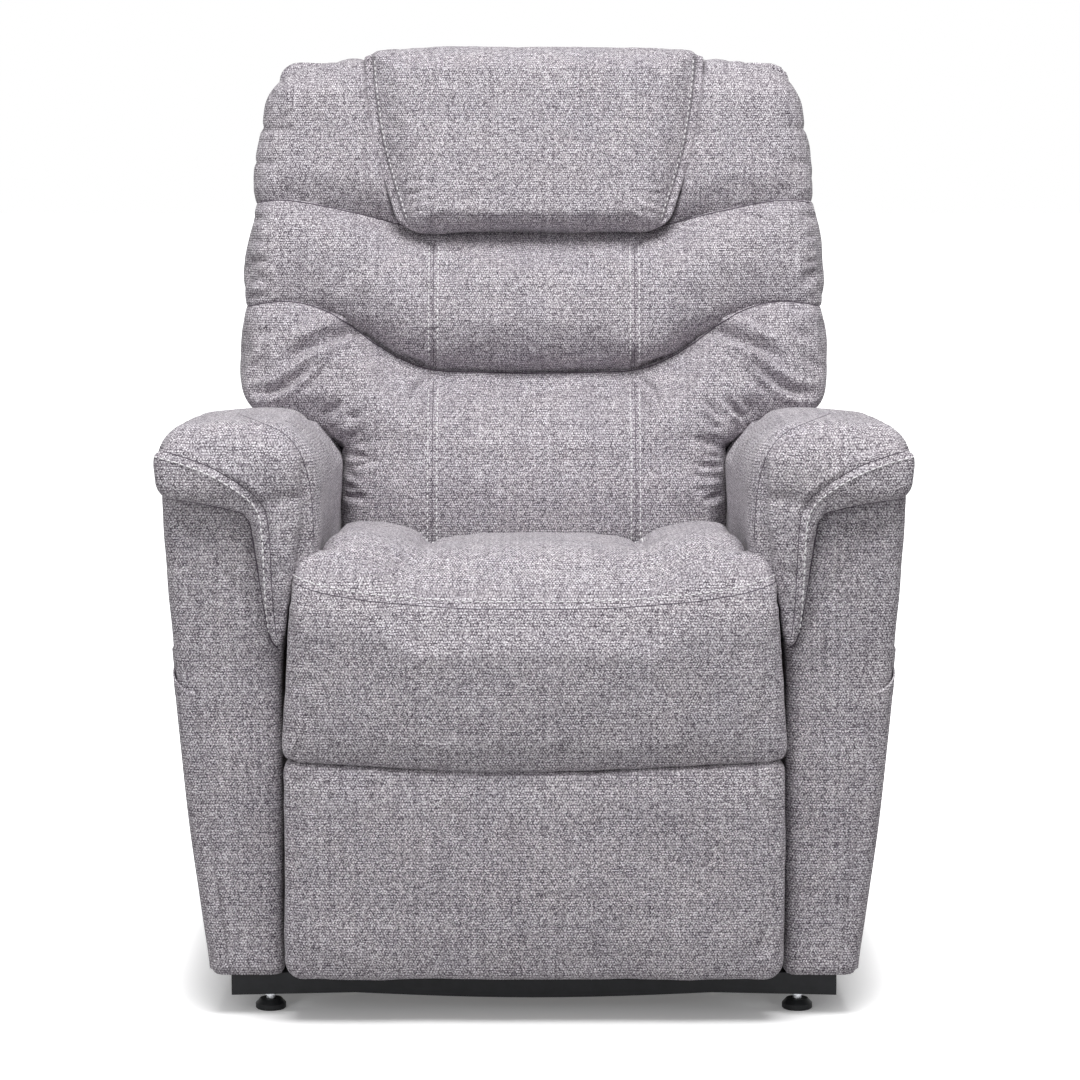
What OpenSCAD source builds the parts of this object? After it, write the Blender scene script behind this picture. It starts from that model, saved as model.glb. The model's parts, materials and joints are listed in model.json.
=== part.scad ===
// Lift recliner chair: a power lift base, a seat chassis with arms, a footrest and a reclining back.
// Front faces -Y, +Z is up, and the origin is on the floor under the middle of the chair.
// Left and right are the sitter's, so the sitter's left is +X.

/* [Base frame] */
// Height of the underside of the base rails above the floor
rail_z = 22; // [18:1:30]
// Height of the base rail section
rail_h = 24; // [20:1:30]
// Inner face of a base rail from the middle
rail_in = 282; // [276:1:290]
// Width of the base rail section
rail_w = 40; // [30:1:50]
// Wall of the steel tube sections
tube_wall = 2.5; // [1.5:0.5:4]
// Front end of the base rails
rail_front = -400; // [-410:1:-390]
// Rear end of the base rails
rail_rear = 330; // [310:1:350]
// Half length of the front cross bar
bar_half = 345; // [330:1:360]
// Thickness of the front cross bar
bar_t = 11; // [6:1:14]
// Diameter of a foot pad
foot_d = 35; // [28:1:45]
// Thickness of a foot pad
foot_h = 12; // [8:1:16]
// Diameter of the foot stud
stud_d = 10; // [8:1:12]
// Front feet, distance behind the front end of the rails
foot_inset = 14; // [12:1:40]

/* [Linkage] */
// Thickness of the linkage plates
link_t = 6; // [4:1:8]
// Gap between neighbouring linkage plates
link_gap = 4; // [2:0.5:5]
// Width of the rear lift arm
arm_bar_w = 38; // [30:1:44]
// Width of the front lift link
link_bar_w = 30; // [24:1:34]
// Diameter of the linkage pins
pin_d = 12; // [8:1:14]
// Radial running clearance of a pin in its hole
fit = 0.05; // [0.02:0.01:0.1]
// Extra radial clearance of the front link on its upper pin
loose = 1.6; // [1.3:0.1:3]
// Diameter of the cross tubes
cross_d = 28; // [22:1:32]
// Diameter of the lift torque tube
torque_d = 32; // [26:1:36]

/* [Actuators] */
// Outer diameter of an actuator tube
act_tube_d = 38; // [32:1:42]
// Diameter of an actuator rod
act_rod_d = 18; // [14:1:22]
// Diameter of an actuator motor
motor_d = 50; // [40:1:54]
// Length of an actuator motor
motor_len = 92; // [70:1:110]
// Diameter of the pins at an actuator's ends
act_pin_d = 10; // [8:1:12]

/* [Seat] */
// Underside of the seat frame above the floor
seat_frame_z = 330; // [326:1:340]
// Height of the seat frame rails
seat_rail_h = 40; // [30:1:44]
// Front of the seat frame
seat_frame_front = -398; // [-398:1:-390]
// Rear of the seat frame
seat_frame_rear = 88; // [70:1:100]
// Half width of the seat cushion between the arm pads
seat_half = 235; // [220:1:236]
// Height of the seat cushion at its crest
seat_crest = 522; // [505:1:535]
// Height of the seat cushion at its front seam
seat_lip = 487; // [484:1:492]
// Rear end of the seat cushion
seat_rear = 36; // [20:1:40]
// Distance of the sewn channels of the seat and back from the middle
channel_x = 126; // [100:1:150]
// Number of springs under the seat cushion
spring_count = 5; // [3:1:7]
// Thickness of the spring wire
wire = 4; // [3:0.5:5]

/* [Footrest] */
// Depth of the footrest pads
pad_t = 45; // [35:1:50]
// Half width of the footrest pads
pad_half = 281; // [270:1:282]
// Half width of the upper footrest pad at its top
pad_top_half = 266; // [255:1:267]
// Height of the crease between the two footrest pads
crease_z = 291; // [270:1:310]
// Height of the lower edge of the footrest above the floor
footrest_z = 50; // [48:1:60]
// Thickness of the footrest boards
board_t = 15; // [10:1:16]

/* [Arms] */
// Front face of an arm
arm_front = -430; // [-432:1:-426]
// Rear face of an arm
arm_rear = 215; // [190:1:215]
// Height of an arm's lower edge above the floor
arm_z = 50; // [48:1:56]
// Height of an arm under its pad
arm_top = 600; // [580:1:600]
// Inner face of an arm at its lower edge, from the middle
arm_in = 284; // [284:1:288]
// Outer face of an arm at its lower edge, from the middle
arm_out = 360; // [350:1:370]
// Outer face of an arm under its pad, from the middle
arm_top_out = 416; // [405:1:420]
// Thickness of the board and cloth of an arm's walls
arm_skin = 8; // [5:1:10]
// Height of the arm pad's crest
arm_crest = 671; // [660:1:680]
// How far the arm pad slopes down to its rear end
arm_drop = 38; // [36:1:50]
// Thickness of the padded flange on an arm's front
flange_t = 22; // [16:1:24]
// Height of a side pocket's rim
pocket_rim = 392; // [370:1:400]
// How far a side pocket stands out
pocket_out = 22.5; // [21:0.5:24]
// Thickness of the pocket cloth
pocket_t = 2; // [1.5:0.5:3]

/* [Back] */
// Angle of the back from upright
lean = 17; // [15:0.5:18]
// Depth of the back frame rails
frame_t = 30; // [24:1:32]
// Thickness of the back cushions at their crown
crown = 108; // [95:1:112]
// How far the seams of the back draw in
draw = 34; // [20:1:45]
// Half width of the lower back between the arms
lumbar_half = 238; // [230:1:239]
// Half width of the back at its wings
wing_half = 370; // [360:1:375]
// Height of the top of the back
back_top = 1094; // [1080:1:1100]
// Thickness of the rear cover at its crown
rear_t = 46; // [35:1:55]
// Height of the lower edge of the rear cover
rear_z = 368; // [364:1:400]
// Thickness of the headrest pillow
pillow_t = 70; // [55:1:75]
// Half width of the headrest pillow at its top
pillow_top_half = 214; // [200:1:220]
// Half width of the headrest pillow at its bottom
pillow_low_half = 170; // [160:1:180]
// Height of the bottom of the headrest pillow
pillow_z = 876; // [870:1:885]

/* [Handset] */
// Width of the handset
handset_w = 52; // [44:1:60]
// Length of the handset
handset_len = 160; // [140:1:180]
// Thickness of the handset
handset_t = 16; // [15:0.5:17]
// Diameter of a handset button
button_d = 13; // [10:1:15]
// Height that a button stands above the handset
button_h = 2; // [1.6:0.2:2.4]

/* [Hidden] */
$fn = 48;
eps = 0.01;

// Pivots of the lift, footrest and back, as [y, z]
base_arm_pivot = [-308, 101];
base_link_pivot = [-362, 122];
chassis_arm_pivot = [238, 199];
chassis_link_pivot = [-14, 250];
torque_pivot = [-150, 300];
back_pivot = [150, 345];
hinge_pivot = [arm_front - 12, 455];
// From the footrest hinge to the push link's pin on the footrest
push_offset = [62, -155];
push_low = hinge_pivot + push_offset;
push_high = torque_pivot + push_offset;
// Chassis cross tubes, as [y, z]
cross_front = [-250, 300];
cross_rear = [200, 240];
// Rear pivots of the three actuators, as [y, z], and their places across the chair
lift_act_pivot = [290, 90];
rest_act_pivot = [150, 240];
back_act_pivot = [-235, 255];
lift_act_x = 0;
rest_act_x = -90;
back_act_x = 90;
// Radius and angle at rest of the lug that each actuator turns
lift_lug = [160, 64];
rest_lug = [55, -47.5];
back_lug = [85, -62];
// How far each rod pin runs in and out along its lug's slot, and the slot's side clearance
lift_slot = [8, 2, 1.2];
rest_slot = [13.5, 4.5, 2.8];
back_slot = [5, 2, 1];

// Planes of the linkage plates across the chair, from the rails inwards
link_step = link_t + link_gap;
bracket_x = rail_in - link_t;
front_link_x = bracket_x - link_step;
rear_arm_x = front_link_x - link_step;
chassis_x = rear_arm_x - link_step;
pin_r = pin_d / 2;
rail_mid = rail_in + rail_w / 2;
rail_top = rail_z + rail_h;
feet_y = [rail_front + foot_inset, rail_rear - 30];
rail_inner_x = chassis_x - 40;
seat_deck = seat_frame_z + seat_rail_h;
push_x = chassis_x - 12;
crank_x = push_x - link_t - 1;
plate_x = chassis_x - 5;
pad_front = hinge_pivot[0] - pad_t / 2 - 0.5;
pad_rear = pad_front + pad_t;
knuckle = pad_t / 2;
board_y = pad_rear + 2;

// A point at radius r and angle a from p, in the YZ plane
function around(p, r, a) = p + r * [cos(a), sin(a)];
// The angle of the line from one point to another, in the YZ plane
function aim(from, to) = atan2(to[1] - from[1], to[0] - from[0]);
function ramp(a, b, t) = a + (b - a) * min(1, max(0, t));
function ease(t) = let(s = min(1, max(0, t))) s * s * (3 - 2 * s);
function bump(t, w) = exp(-t * t / (w * w));
// Straight lines through a list of [t, value] pairs
function track(pairs, t, i = 0) =
  i >= len(pairs) - 1 || t <= pairs[0][0] ? (t <= pairs[0][0] ? pairs[0][1] : pairs[len(pairs) - 1][1])
  : t <= pairs[i + 1][0]
    ? ramp(pairs[i][1], pairs[i + 1][1], (t - pairs[i][0]) / (pairs[i + 1][0] - pairs[i][0]))
    : track(pairs, t, i + 1);
// Height of a rounded edge, 1 in the middle and 0 at t = -1 and t = 1
function rounded(t, n) = pow(max(0, 1 - pow(abs(t), n)), 1 / n);
// Steps from -1 to 1 that crowd towards both ends
function spread(i, n) = -cos(180 * i / n);

// The pieces are drawn from the seat, then set back so that the origin lies under the chair's middle
set_back = 27;
module placed() {
  translate([0, set_back, 0]) children();
}

module both() {
  children();
  mirror([1, 0, 0]) children();
}

// Extrudes a flat YZ outline along X from x0
module plate(x0, t) {
  translate([x0, 0, 0]) rotate([90, 0, 90]) linear_extrude(t) children();
}

// A round bar along X at [y, z]
module bar_x(x0, x1, p, d) {
  translate([x0, p[0], p[1]]) rotate([0, 90, 0]) cylinder(h = x1 - x0, d = d);
}

module tube_x(x0, x1, p, d) {
  difference() {
    bar_x(x0, x1, p, d);
    bar_x(x0 - 1, x1 + 1, p, d - 2 * tube_wall);
  }
}

// A flat bar with round ends between two pivots, drawn in the YZ plane
module link_2d(p, q, w) {
  steps = 8;
  turn = aim(p, q) + 90;
  polygon(concat([for (i = [0 : steps]) around(p, w / 2, turn + 180 * i / steps)],
    [for (i = [0 : steps]) around(q, w / 2, turn - 180 + 180 * i / steps)]));
}

module block(lo, hi) {
  translate(lo) cube(hi - lo);
}

// A flat slab with round corners, drawn from its middle
module round_square(w, h, r) {
  square([w - 2 * r, h], center = true);
  square([w, h - 2 * r], center = true);
  for (x = [-1, 1], y = [-1, 1]) {
    translate([x * (w / 2 - r), y * (h / 2 - r)]) circle(r = r);
  }
}

// A closed form between two point grids: near(i, j) is the outside, far(i, j) the inside
module grid_form(nu, nv, near, far) {
  row = nu + 1;
  count = row * (nv + 1);
  points = concat([for (j = [0 : nv], i = [0 : nu]) near(i, j)],
    [for (j = [0 : nv], i = [0 : nu]) far(i, j)]);
  quads = [for (j = [0 : nv - 1], i = [0 : nu - 1]) let(a = j * row + i) [a, a + 1, a + 1 + row, a + row]];
  outer = [for (q = quads) each [[q[0], q[3], q[2]], [q[0], q[2], q[1]]]];
  inner = [for (q = quads) let(p = [for (k = q) k + count]) each [[p[0], p[1], p[2]], [p[0], p[2], p[3]]]];
  rim = concat([for (i = [0 : nu - 1]) [i, i + 1]],
    [for (j = [0 : nv - 1]) [j * row + nu, (j + 1) * row + nu]],
    [for (i = [0 : nu - 1]) [nv * row + nu - i, nv * row + nu - i - 1]],
    [for (j = [0 : nv - 1]) [(nv - j) * row, (nv - j - 1) * row]]);
  sides = [for (e = rim) each [[e[0], e[1], e[1] + count], [e[0], e[1] + count, e[0] + count]]];
  polyhedron(points, concat(outer, inner, sides));
}

// ---- Base frame ----

module base_side_rails() {
  color("black") both() difference() {
    block([rail_in, rail_front, rail_z], [rail_in + rail_w, rail_rear, rail_top]);
    block([rail_in + tube_wall, rail_front - 1, rail_z + tube_wall],
      [rail_in + rail_w - tube_wall, rail_rear + 1, rail_top - tube_wall]);
    for (y = feet_y) {
      translate([rail_mid, y, rail_z - 1]) cylinder(h = rail_h + 2, d = stud_d + 2 * fit);
    }
  }
}

// The bar's lower edge has a shallow belly in the middle
module front_cross_bar() {
  belly_half = bar_half * 0.59;
  belly = 6;
  color("black") translate([0, rail_front, 0]) rotate([90, 0, 0]) linear_extrude(bar_t)
    polygon(concat([[-bar_half, rail_top + 1], [-bar_half, rail_z - 1], [-belly_half, rail_z + 2]],
      [for (i = [1 : 11]) let(x = belly_half * (i / 6 - 1))
        [x, rail_z + 2 - belly * cos(90 * x / belly_half)]],
      [[belly_half, rail_z + 2], [bar_half, rail_z - 1], [bar_half, rail_top + 1]]));
}

module rear_cross_tube() {
  tube_y = [lift_act_pivot[0] - 14, lift_act_pivot[0] + 14];
  ear_x = 17;
  color("black") {
    difference() {
      block([-rail_in, tube_y[0], rail_z], [rail_in, tube_y[1], rail_top]);
      block([-rail_in - 1, tube_y[0] + tube_wall, rail_z + tube_wall],
        [rail_in + 1, tube_y[1] - tube_wall, rail_top - tube_wall]);
    }
    for (side = [-1, 1]) {
      plate(lift_act_x + side * (ear_x + 2.5) - 2.5, 5) {
        translate(lift_act_pivot) circle(d = 28);
        translate([tube_y[0], rail_top - eps]) square([28, lift_act_pivot[1] - rail_top]);
      }
    }
    bar_x(lift_act_x - ear_x - 9, lift_act_x + ear_x + 9, lift_act_pivot, act_pin_d);
  }
}

module at_feet() {
  for (x = [-1, 1], y = feet_y) {
    translate([x * rail_mid, y, 0]) children();
  }
}

module foot_pads() {
  r = foot_d / 2;
  bore = stud_d / 2 + fit;
  color("black") at_feet() rotate_extrude() polygon([[0, 0], [r - 1.5, 0], [r, 1.5], [r, foot_h * 0.55],
    [r - 5, foot_h], [bore, foot_h], [bore, foot_h / 2], [0, foot_h / 2]]);
}

module foot_studs() {
  color("silver") at_feet() translate([0, 0, foot_h / 2])
    cylinder(h = rail_top - foot_h / 2 + 1.5, d = stud_d);
}

module foot_jam_nuts() {
  nut_h = 5;
  color("silver") at_feet() translate([0, 0, rail_z - nut_h]) difference() {
    cylinder(h = nut_h, d = stud_d * 1.8, $fn = 6);
    translate([0, 0, -1]) cylinder(h = nut_h + 2, d = stud_d + 2 * fit);
  }
}

module base_pivot_brackets() {
  color("black") both() plate(bracket_x, link_t) difference() {
    union() {
      link_2d(base_link_pivot, base_arm_pivot, 36);
      polygon([base_link_pivot - [16, 0], [base_link_pivot[0] - 16, rail_z], [base_arm_pivot[0] + 34, rail_z],
        base_arm_pivot + [15, 0], base_link_pivot]);
    }
    translate(base_link_pivot) circle(d = pin_d);
    translate(base_arm_pivot) circle(d = pin_d);
  }
}

module base_pivot_pins() {
  color("silver") both() {
    bar_x(front_link_x - 2, rail_in + 2, base_link_pivot, pin_d);
    bar_x(rear_arm_x - 2, rail_in + 2, base_arm_pivot, pin_d);
  }
}

module power_supply() {
  size = [130, 76, 44];
  corner = [-240, rail_rear - 76 - 14, rail_top];
  socket = [18, 12, 14];
  color("dimgray") difference() {
    block(corner, corner + size);
    block([corner[0] + 56, corner[1] + size[1] - socket[1], corner[2] + 14],
      [corner[0] + 56 + socket[0], corner[1] + size[1] + 1, corner[2] + 14 + socket[2]]);
  }
}

// ---- Actuators, drawn with +Y along the rod and the rear pivot at the origin ----

module at_actuator(x, p, angle) {
  translate([x, p[0], p[1]]) rotate([angle, 0, 0]) children();
}

module actuator_tube(x, p, angle, len) {
  eye_d = 26;
  color("dimgray") at_actuator(x, p, angle) difference() {
    union() {
      translate([-15, 0, 0]) rotate([0, 90, 0]) cylinder(h = 30, d = eye_d);
      block([-15, 0, -eye_d / 2], [15, 24, eye_d / 2]);
      translate([0, 22, 0]) rotate([-90, 0, 0]) cylinder(h = len - 22, d = act_tube_d);
    }
    translate([-20, 0, 0]) rotate([0, 90, 0]) cylinder(h = 40, d = act_pin_d + 2 * fit);
    translate([0, 40, 0]) rotate([-90, 0, 0]) cylinder(h = len, d = act_rod_d + 2 * fit);
  }
}

// The gearbox stands on the tube on the side that flip chooses, with the motor along the tube
module actuator_motor(x, p, angle, flip) {
  gear = [50, 50, motor_d + 6];
  stand = act_tube_d / 2 + 0.2;
  color("black") at_actuator(x, p, angle) mirror([0, 0, flip]) {
    translate([0, 28 + gear[1] / 2, stand]) linear_extrude(gear[2]) round_square(gear[0], gear[1], 8);
    translate([0, 28 + gear[1] - eps, stand + gear[2] / 2]) rotate([-90, 0, 0]) {
      cylinder(h = motor_len, d = motor_d);
      translate([0, 0, motor_len - 1]) cylinder(h = 6, d = motor_d - 12);
    }
  }
}

module actuator_rod(x, p, angle, from, to) {
  color("silver") at_actuator(x, p, angle) {
    translate([0, from, 0]) rotate([-90, 0, 0]) cylinder(h = to - from - 8, d = act_rod_d);
    translate([-eye_half, to, 0]) rotate([0, 90, 0]) cylinder(h = 2 * eye_half, d = 24);
    translate([-eye_half - 11, to, 0]) rotate([0, 90, 0]) cylinder(h = 2 * eye_half + 22, d = act_pin_d);
  }
}

// Half width of a rod's eye, and the middle plane and thickness of the lugs beside it
eye_half = 11;
lug_x = 15.5;
lug_t = 5;

// A pair of lug plates on a turning tube, slotted along their length for a rod pin
module slotted_lugs(x, centre, lug, slot) {
  lug_w = act_pin_d + 2 * slot[2] + 18;
  for (side = [-1, 1]) {
    plate(x + side * lug_x - lug_t / 2, lug_t) difference() {
      link_2d(centre, around(centre, lug[0] + slot[1], lug[1]), lug_w);
      link_2d(around(centre, lug[0] - slot[0], lug[1]), around(centre, lug[0] + slot[1], lug[1]),
        act_pin_d + 2 * slot[2]);
    }
  }
}

lift_pin = around(base_arm_pivot, lift_lug[0], lift_lug[1]);
rest_pin = around(torque_pivot, rest_lug[0], rest_lug[1]);
back_pin = around(back_pivot, back_lug[0], back_lug[1]);
lift_aim = aim(lift_act_pivot, lift_pin);
rest_aim = aim(rest_act_pivot, rest_pin);
back_aim = aim(back_act_pivot, back_pin);
lift_len = norm(lift_pin - lift_act_pivot);
rest_len = norm(rest_pin - rest_act_pivot);
back_len = norm(back_pin - back_act_pivot);
// Stroke of each rod from rest, towards its lug where positive
lift_stroke = 98;
rest_stroke = 75;
back_stroke = -58;
rod_end_room = 34;

module lift_motor() { actuator_motor(lift_act_x, lift_act_pivot, lift_aim, 1); }
module lift_actuator_tube() { actuator_tube(lift_act_x, lift_act_pivot, lift_aim, lift_len - rod_end_room); }
module lift_rod() {
  actuator_rod(lift_act_x, lift_act_pivot, lift_aim, lift_len - rod_end_room - lift_stroke - 40, lift_len);
}
module footrest_motor() { actuator_motor(rest_act_x, rest_act_pivot, rest_aim, 0); }
module footrest_actuator_tube() {
  actuator_tube(rest_act_x, rest_act_pivot, rest_aim, rest_len - rod_end_room);
}
module footrest_rod() {
  actuator_rod(rest_act_x, rest_act_pivot, rest_aim, rest_len - rod_end_room - rest_stroke - 30, rest_len);
}
module back_motor() { actuator_motor(back_act_x, back_act_pivot, back_aim, 1); }
module back_actuator_tube() {
  actuator_tube(back_act_x, back_act_pivot, back_aim, back_len + back_stroke - rod_end_room);
}
module back_rod() {
  actuator_rod(back_act_x, back_act_pivot, back_aim, back_len + back_stroke - rod_end_room - 50, back_len);
}

// ---- Lift linkage ----

module rear_lift_arms() {
  color("dimgray") both() plate(rear_arm_x, link_t) difference() {
    link_2d(base_arm_pivot, chassis_arm_pivot, arm_bar_w);
    translate(base_arm_pivot) circle(d = pin_d + 2 * fit);
    translate(chassis_arm_pivot) circle(d = pin_d + 2 * fit);
  }
}

// The tube joins the two lift arms and carries the lugs that the lift rod pushes
module lift_torque_tube() {
  arm_angle = aim(base_arm_pivot, chassis_arm_pivot);
  centre = around(base_arm_pivot, 60, arm_angle);
  color("dimgray") {
    tube_x(-rear_arm_x, rear_arm_x, centre, torque_d);
    difference() {
      union() {
        slotted_lugs(lift_act_x, base_arm_pivot, lift_lug, lift_slot);
        for (side = [-1, 1]) {
          plate(lift_act_x + side * lug_x - lug_t / 2, lug_t)
            link_2d(around(base_arm_pivot, lift_lug[0] * 0.6, lift_lug[1]), centre, torque_d + 8);
        }
      }
      bar_x(-30, 30, centre, torque_d - 2 * tube_wall);
      bar_x(-30, 30, base_arm_pivot, 62);
    }
  }
}

module front_lift_links() {
  color("dimgray") both() plate(front_link_x, link_t) difference() {
    link_2d(base_link_pivot, chassis_link_pivot, link_bar_w);
    translate(base_link_pivot) circle(d = pin_d + 2 * fit);
    translate(chassis_link_pivot) circle(d = pin_d + 2 * loose);
  }
}

// ---- Chassis ----

module chassis_side_plates() {
  bracket_y = [-250, 20];
  color("black") both() {
    plate(chassis_x, link_t) difference() {
      polygon([[-300, seat_frame_z + seat_rail_h - 4], [-300, cross_front[1] - 16], torque_pivot - [0, 34],
        chassis_link_pivot - [10, 34], cross_rear - [30, 62], chassis_arm_pivot - [4, 22],
        chassis_arm_pivot + [22, 0], cross_rear + [32, 24], back_pivot + [30, 6], back_pivot + [16, 26],
        back_pivot + [-20, 26], [seat_frame_rear, seat_deck - 4]]);
      translate(chassis_arm_pivot) circle(d = pin_d);
      translate(chassis_link_pivot) circle(d = pin_d);
      translate(torque_pivot) circle(d = pin_d);
      translate(back_pivot) circle(d = pin_d);
    }
    for (y = bracket_y) {
      block([chassis_x + link_t - eps, y, seat_frame_z + 6], [arm_in, y + 50, seat_deck - 8]);
    }
  }
}

module chassis_cross_tubes() {
  color("black") {
    tube_x(-chassis_x, chassis_x, cross_front, cross_d);
    tube_x(-chassis_x, chassis_x, cross_rear, cross_d);
    cradle(rest_act_x, cross_rear, rest_act_pivot);
    cradle(back_act_x, cross_front, back_act_pivot);
  }
}

// Two ears from a cross tube to an actuator's rear pin
module cradle(x, tube, pivot) {
  for (side = [-1, 1]) {
    plate(x + side * 19 - 2.5, 5) difference() {
      link_2d(tube, pivot, 26);
      translate(tube) circle(d = cross_d - 1);
    }
  }
  bar_x(x - 24, x + 24, pivot, act_pin_d);
}

module chassis_pivot_pins() {
  color("silver") both() {
    bar_x(chassis_x - 1, rear_arm_x + link_t + 1, chassis_arm_pivot, pin_d);
    bar_x(chassis_x - 1, front_link_x + link_t + 1, chassis_link_pivot, pin_d);
    bar_x(chassis_x - 26, chassis_x + link_t + 1, torque_pivot, pin_d);
    bar_x(chassis_x - 26, chassis_x + link_t + 1, back_pivot, pin_d);
  }
}

module seat_frame() {
  color("tan") {
    for (y = [seat_frame_front, seat_frame_rear - 28]) {
      block([-rail_inner_x, y, seat_frame_z], [rail_inner_x, y + 28, seat_deck]);
    }
    both() block([rail_inner_x, seat_frame_front, seat_frame_z], [chassis_x, seat_frame_rear, seat_deck]);
  }
}

// Zigzag springs from the front rail to the rear rail
module seat_springs() {
  pitch = 2 * rail_inner_x / (spring_count + 1);
  bend_r = 28;
  reach = [seat_frame_front + 14, seat_frame_rear - 14];
  turns = floor((reach[1] - reach[0]) / (2 * bend_r));
  step = (reach[1] - reach[0]) / turns;
  arm = pitch * 0.22;
  color("silver") for (s = [1 : spring_count]) {
    translate([-rail_inner_x + s * pitch, reach[0], seat_deck + 0.2]) linear_extrude(wire) {
      for (i = [0 : turns - 1]) {
        side = i % 2 == 0 ? 1 : -1;
        translate([side * arm, (i + 0.5) * step]) difference() {
          circle(d = step + wire, $fn = 12);
          circle(d = step - wire, $fn = 12);
          translate([-side * (step + wire), 0]) square([2 * (step + wire), step * 2], center = true);
        }
        translate([0, i * step]) square([2 * arm + 2, wire], center = true);
      }
      translate([0, turns * step]) square([2 * arm + 2, wire], center = true);
    }
  }
}

// The top of the seat cushion: three lobes between two channels, rising from the front seam to the crest
seat_front = hinge_pivot[0] - 14;
function seat_side(y) = track([[seat_front, pad_top_half - 1], [arm_front - 6, pad_top_half - 4],
  [arm_front + 35, seat_half], [seat_rear, seat_half]], y);
function seat_top(u, y) = let(x = u * seat_side(y), v = (y - seat_front) / (seat_rear - seat_front),
    lobe = 16 * ease(v * 5) * (abs(u) - 0.35) * (1 - pow(abs(u), 6)),
    channel = 20 * ease(v * 4) * (bump(x - channel_x, 24) + bump(x + channel_x, 24)),
    rise = track([[0, 0], [0.08, 0.34], [0.18, 0.7], [0.3, 0.96], [0.42, 1], [0.75, 0.9], [1, 0.55]], v),
    side = 46 * ease(v * 3) * (1 - rounded(u, 5)))
  ramp(seat_lip, seat_crest + 6, rise) + lobe - channel - side;

// The underside of the seat cushion, as [y, z]: over the footrest's knuckle, behind its plates, then on
// the springs
knuckle_room = knuckle + 3;
cushion_rest = seat_deck + wire + 0.6;
seat_under = concat([[seat_front, hinge_pivot[1] + knuckle_room]],
  [for (a = [90 : -22.5 : 0]) around(hinge_pivot, knuckle_room, a)],
  [[hinge_pivot[0] + knuckle_room, hinge_pivot[1] - 14], [seat_frame_front + 28, hinge_pivot[1] - 14],
    [seat_frame_front + 30, cushion_rest]],
  [for (y = [-230, -100, seat_rear - 20, seat_rear]) [y, cushion_rest]]);

module seat_cushion() {
  nu = 22;
  top_y = [seat_front, seat_front + 12, seat_front + 28, seat_front + 46, seat_front + 66, -370, -330, -280,
    -230, -150, -70, 0, seat_rear];
  nv = len(top_y) - 1;
  color("thistle") grid_form(nu, nv,
    function(i, j) let(u = spread(i, nu), y = top_y[j]) [u * seat_side(y), y, seat_top(u, y)],
    function(i, j) let(p = seat_under[j]) [spread(i, nu) * seat_side(p[0]) * 0.985, p[0], p[1]]);
}

// ---- Arms, drawn for the sitter's left and mirrored for the right ----

function arm_inner(z) = arm_in - max(0, z - 380) * 18 / 220;
function arm_outer(z) = track([[arm_z, arm_out], [137, arm_out + 12], [236, arm_out + 25],
  [353, arm_out + 40], [470, arm_out + 48.5], [arm_top, arm_top_out]], z);
outer_z = [arm_z, 137, 236, 353, 470, arm_top];

// The arm's section across the chair, drawn in by a wall
module arm_section(inset) {
  polygon(concat([[arm_in + inset, arm_z - inset], [arm_in + inset, 380],
    [arm_inner(arm_top) + inset, arm_top - inset]],
    [for (i = [0 : 5]) let(z = outer_z[5 - i]) [arm_outer(z) - inset, i == 0 || i == 5 ? z - inset : z]]));
}

module arm_panel() {
  corner = 30;
  module plan(inset) {
    width = arm_top_out + 2 - 240;
    translate([240 + width / 2, (arm_front + arm_rear) / 2])
      round_square(width - 2 * inset, arm_rear - arm_front - 2 * inset, corner - inset);
  }
  module solid_arm(inset) {
    intersection() {
      translate([0, arm_rear, 0]) rotate([90, 0, 0]) linear_extrude(arm_rear - arm_front) arm_section(inset);
      translate([0, 0, arm_z - 2 * inset]) linear_extrude(arm_top - arm_z + 2 * inset) plan(inset);
    }
  }
  color("rosybrown") difference() {
    solid_arm(0);
    solid_arm(arm_skin);
  }
}
module arm_panel_left() { arm_panel(); }
module arm_panel_right() { mirror([1, 0, 0]) arm_panel(); }

// Wooden posts and rails inside an arm
module arm_frame() {
  x = arm_in + arm_skin + 2;
  t = 20;
  post = 36;
  front = arm_front + arm_skin + 26;
  rear = arm_rear - arm_skin - 26;
  low = arm_z + 4;
  high = arm_top - arm_skin - 1;
  color("tan") {
    block([x, front, low], [x + t, front + post, high]);
    block([x, rear - post, low], [x + t, rear, high]);
    for (z = [low, seat_frame_z, high - 40]) {
      block([x, front + post - eps, z], [x + t, rear - post + eps, z + 40]);
    }
  }
}
module arm_frame_left() { arm_frame(); }
module arm_frame_right() { mirror([1, 0, 0]) arm_frame(); }

module arm_dust_covers() {
  t = 1.5;
  inset = 3;
  color("black") both() block([arm_in + inset, arm_front + 32, arm_z - t],
    [arm_out - inset, arm_rear - 32, arm_z]);
}

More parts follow.
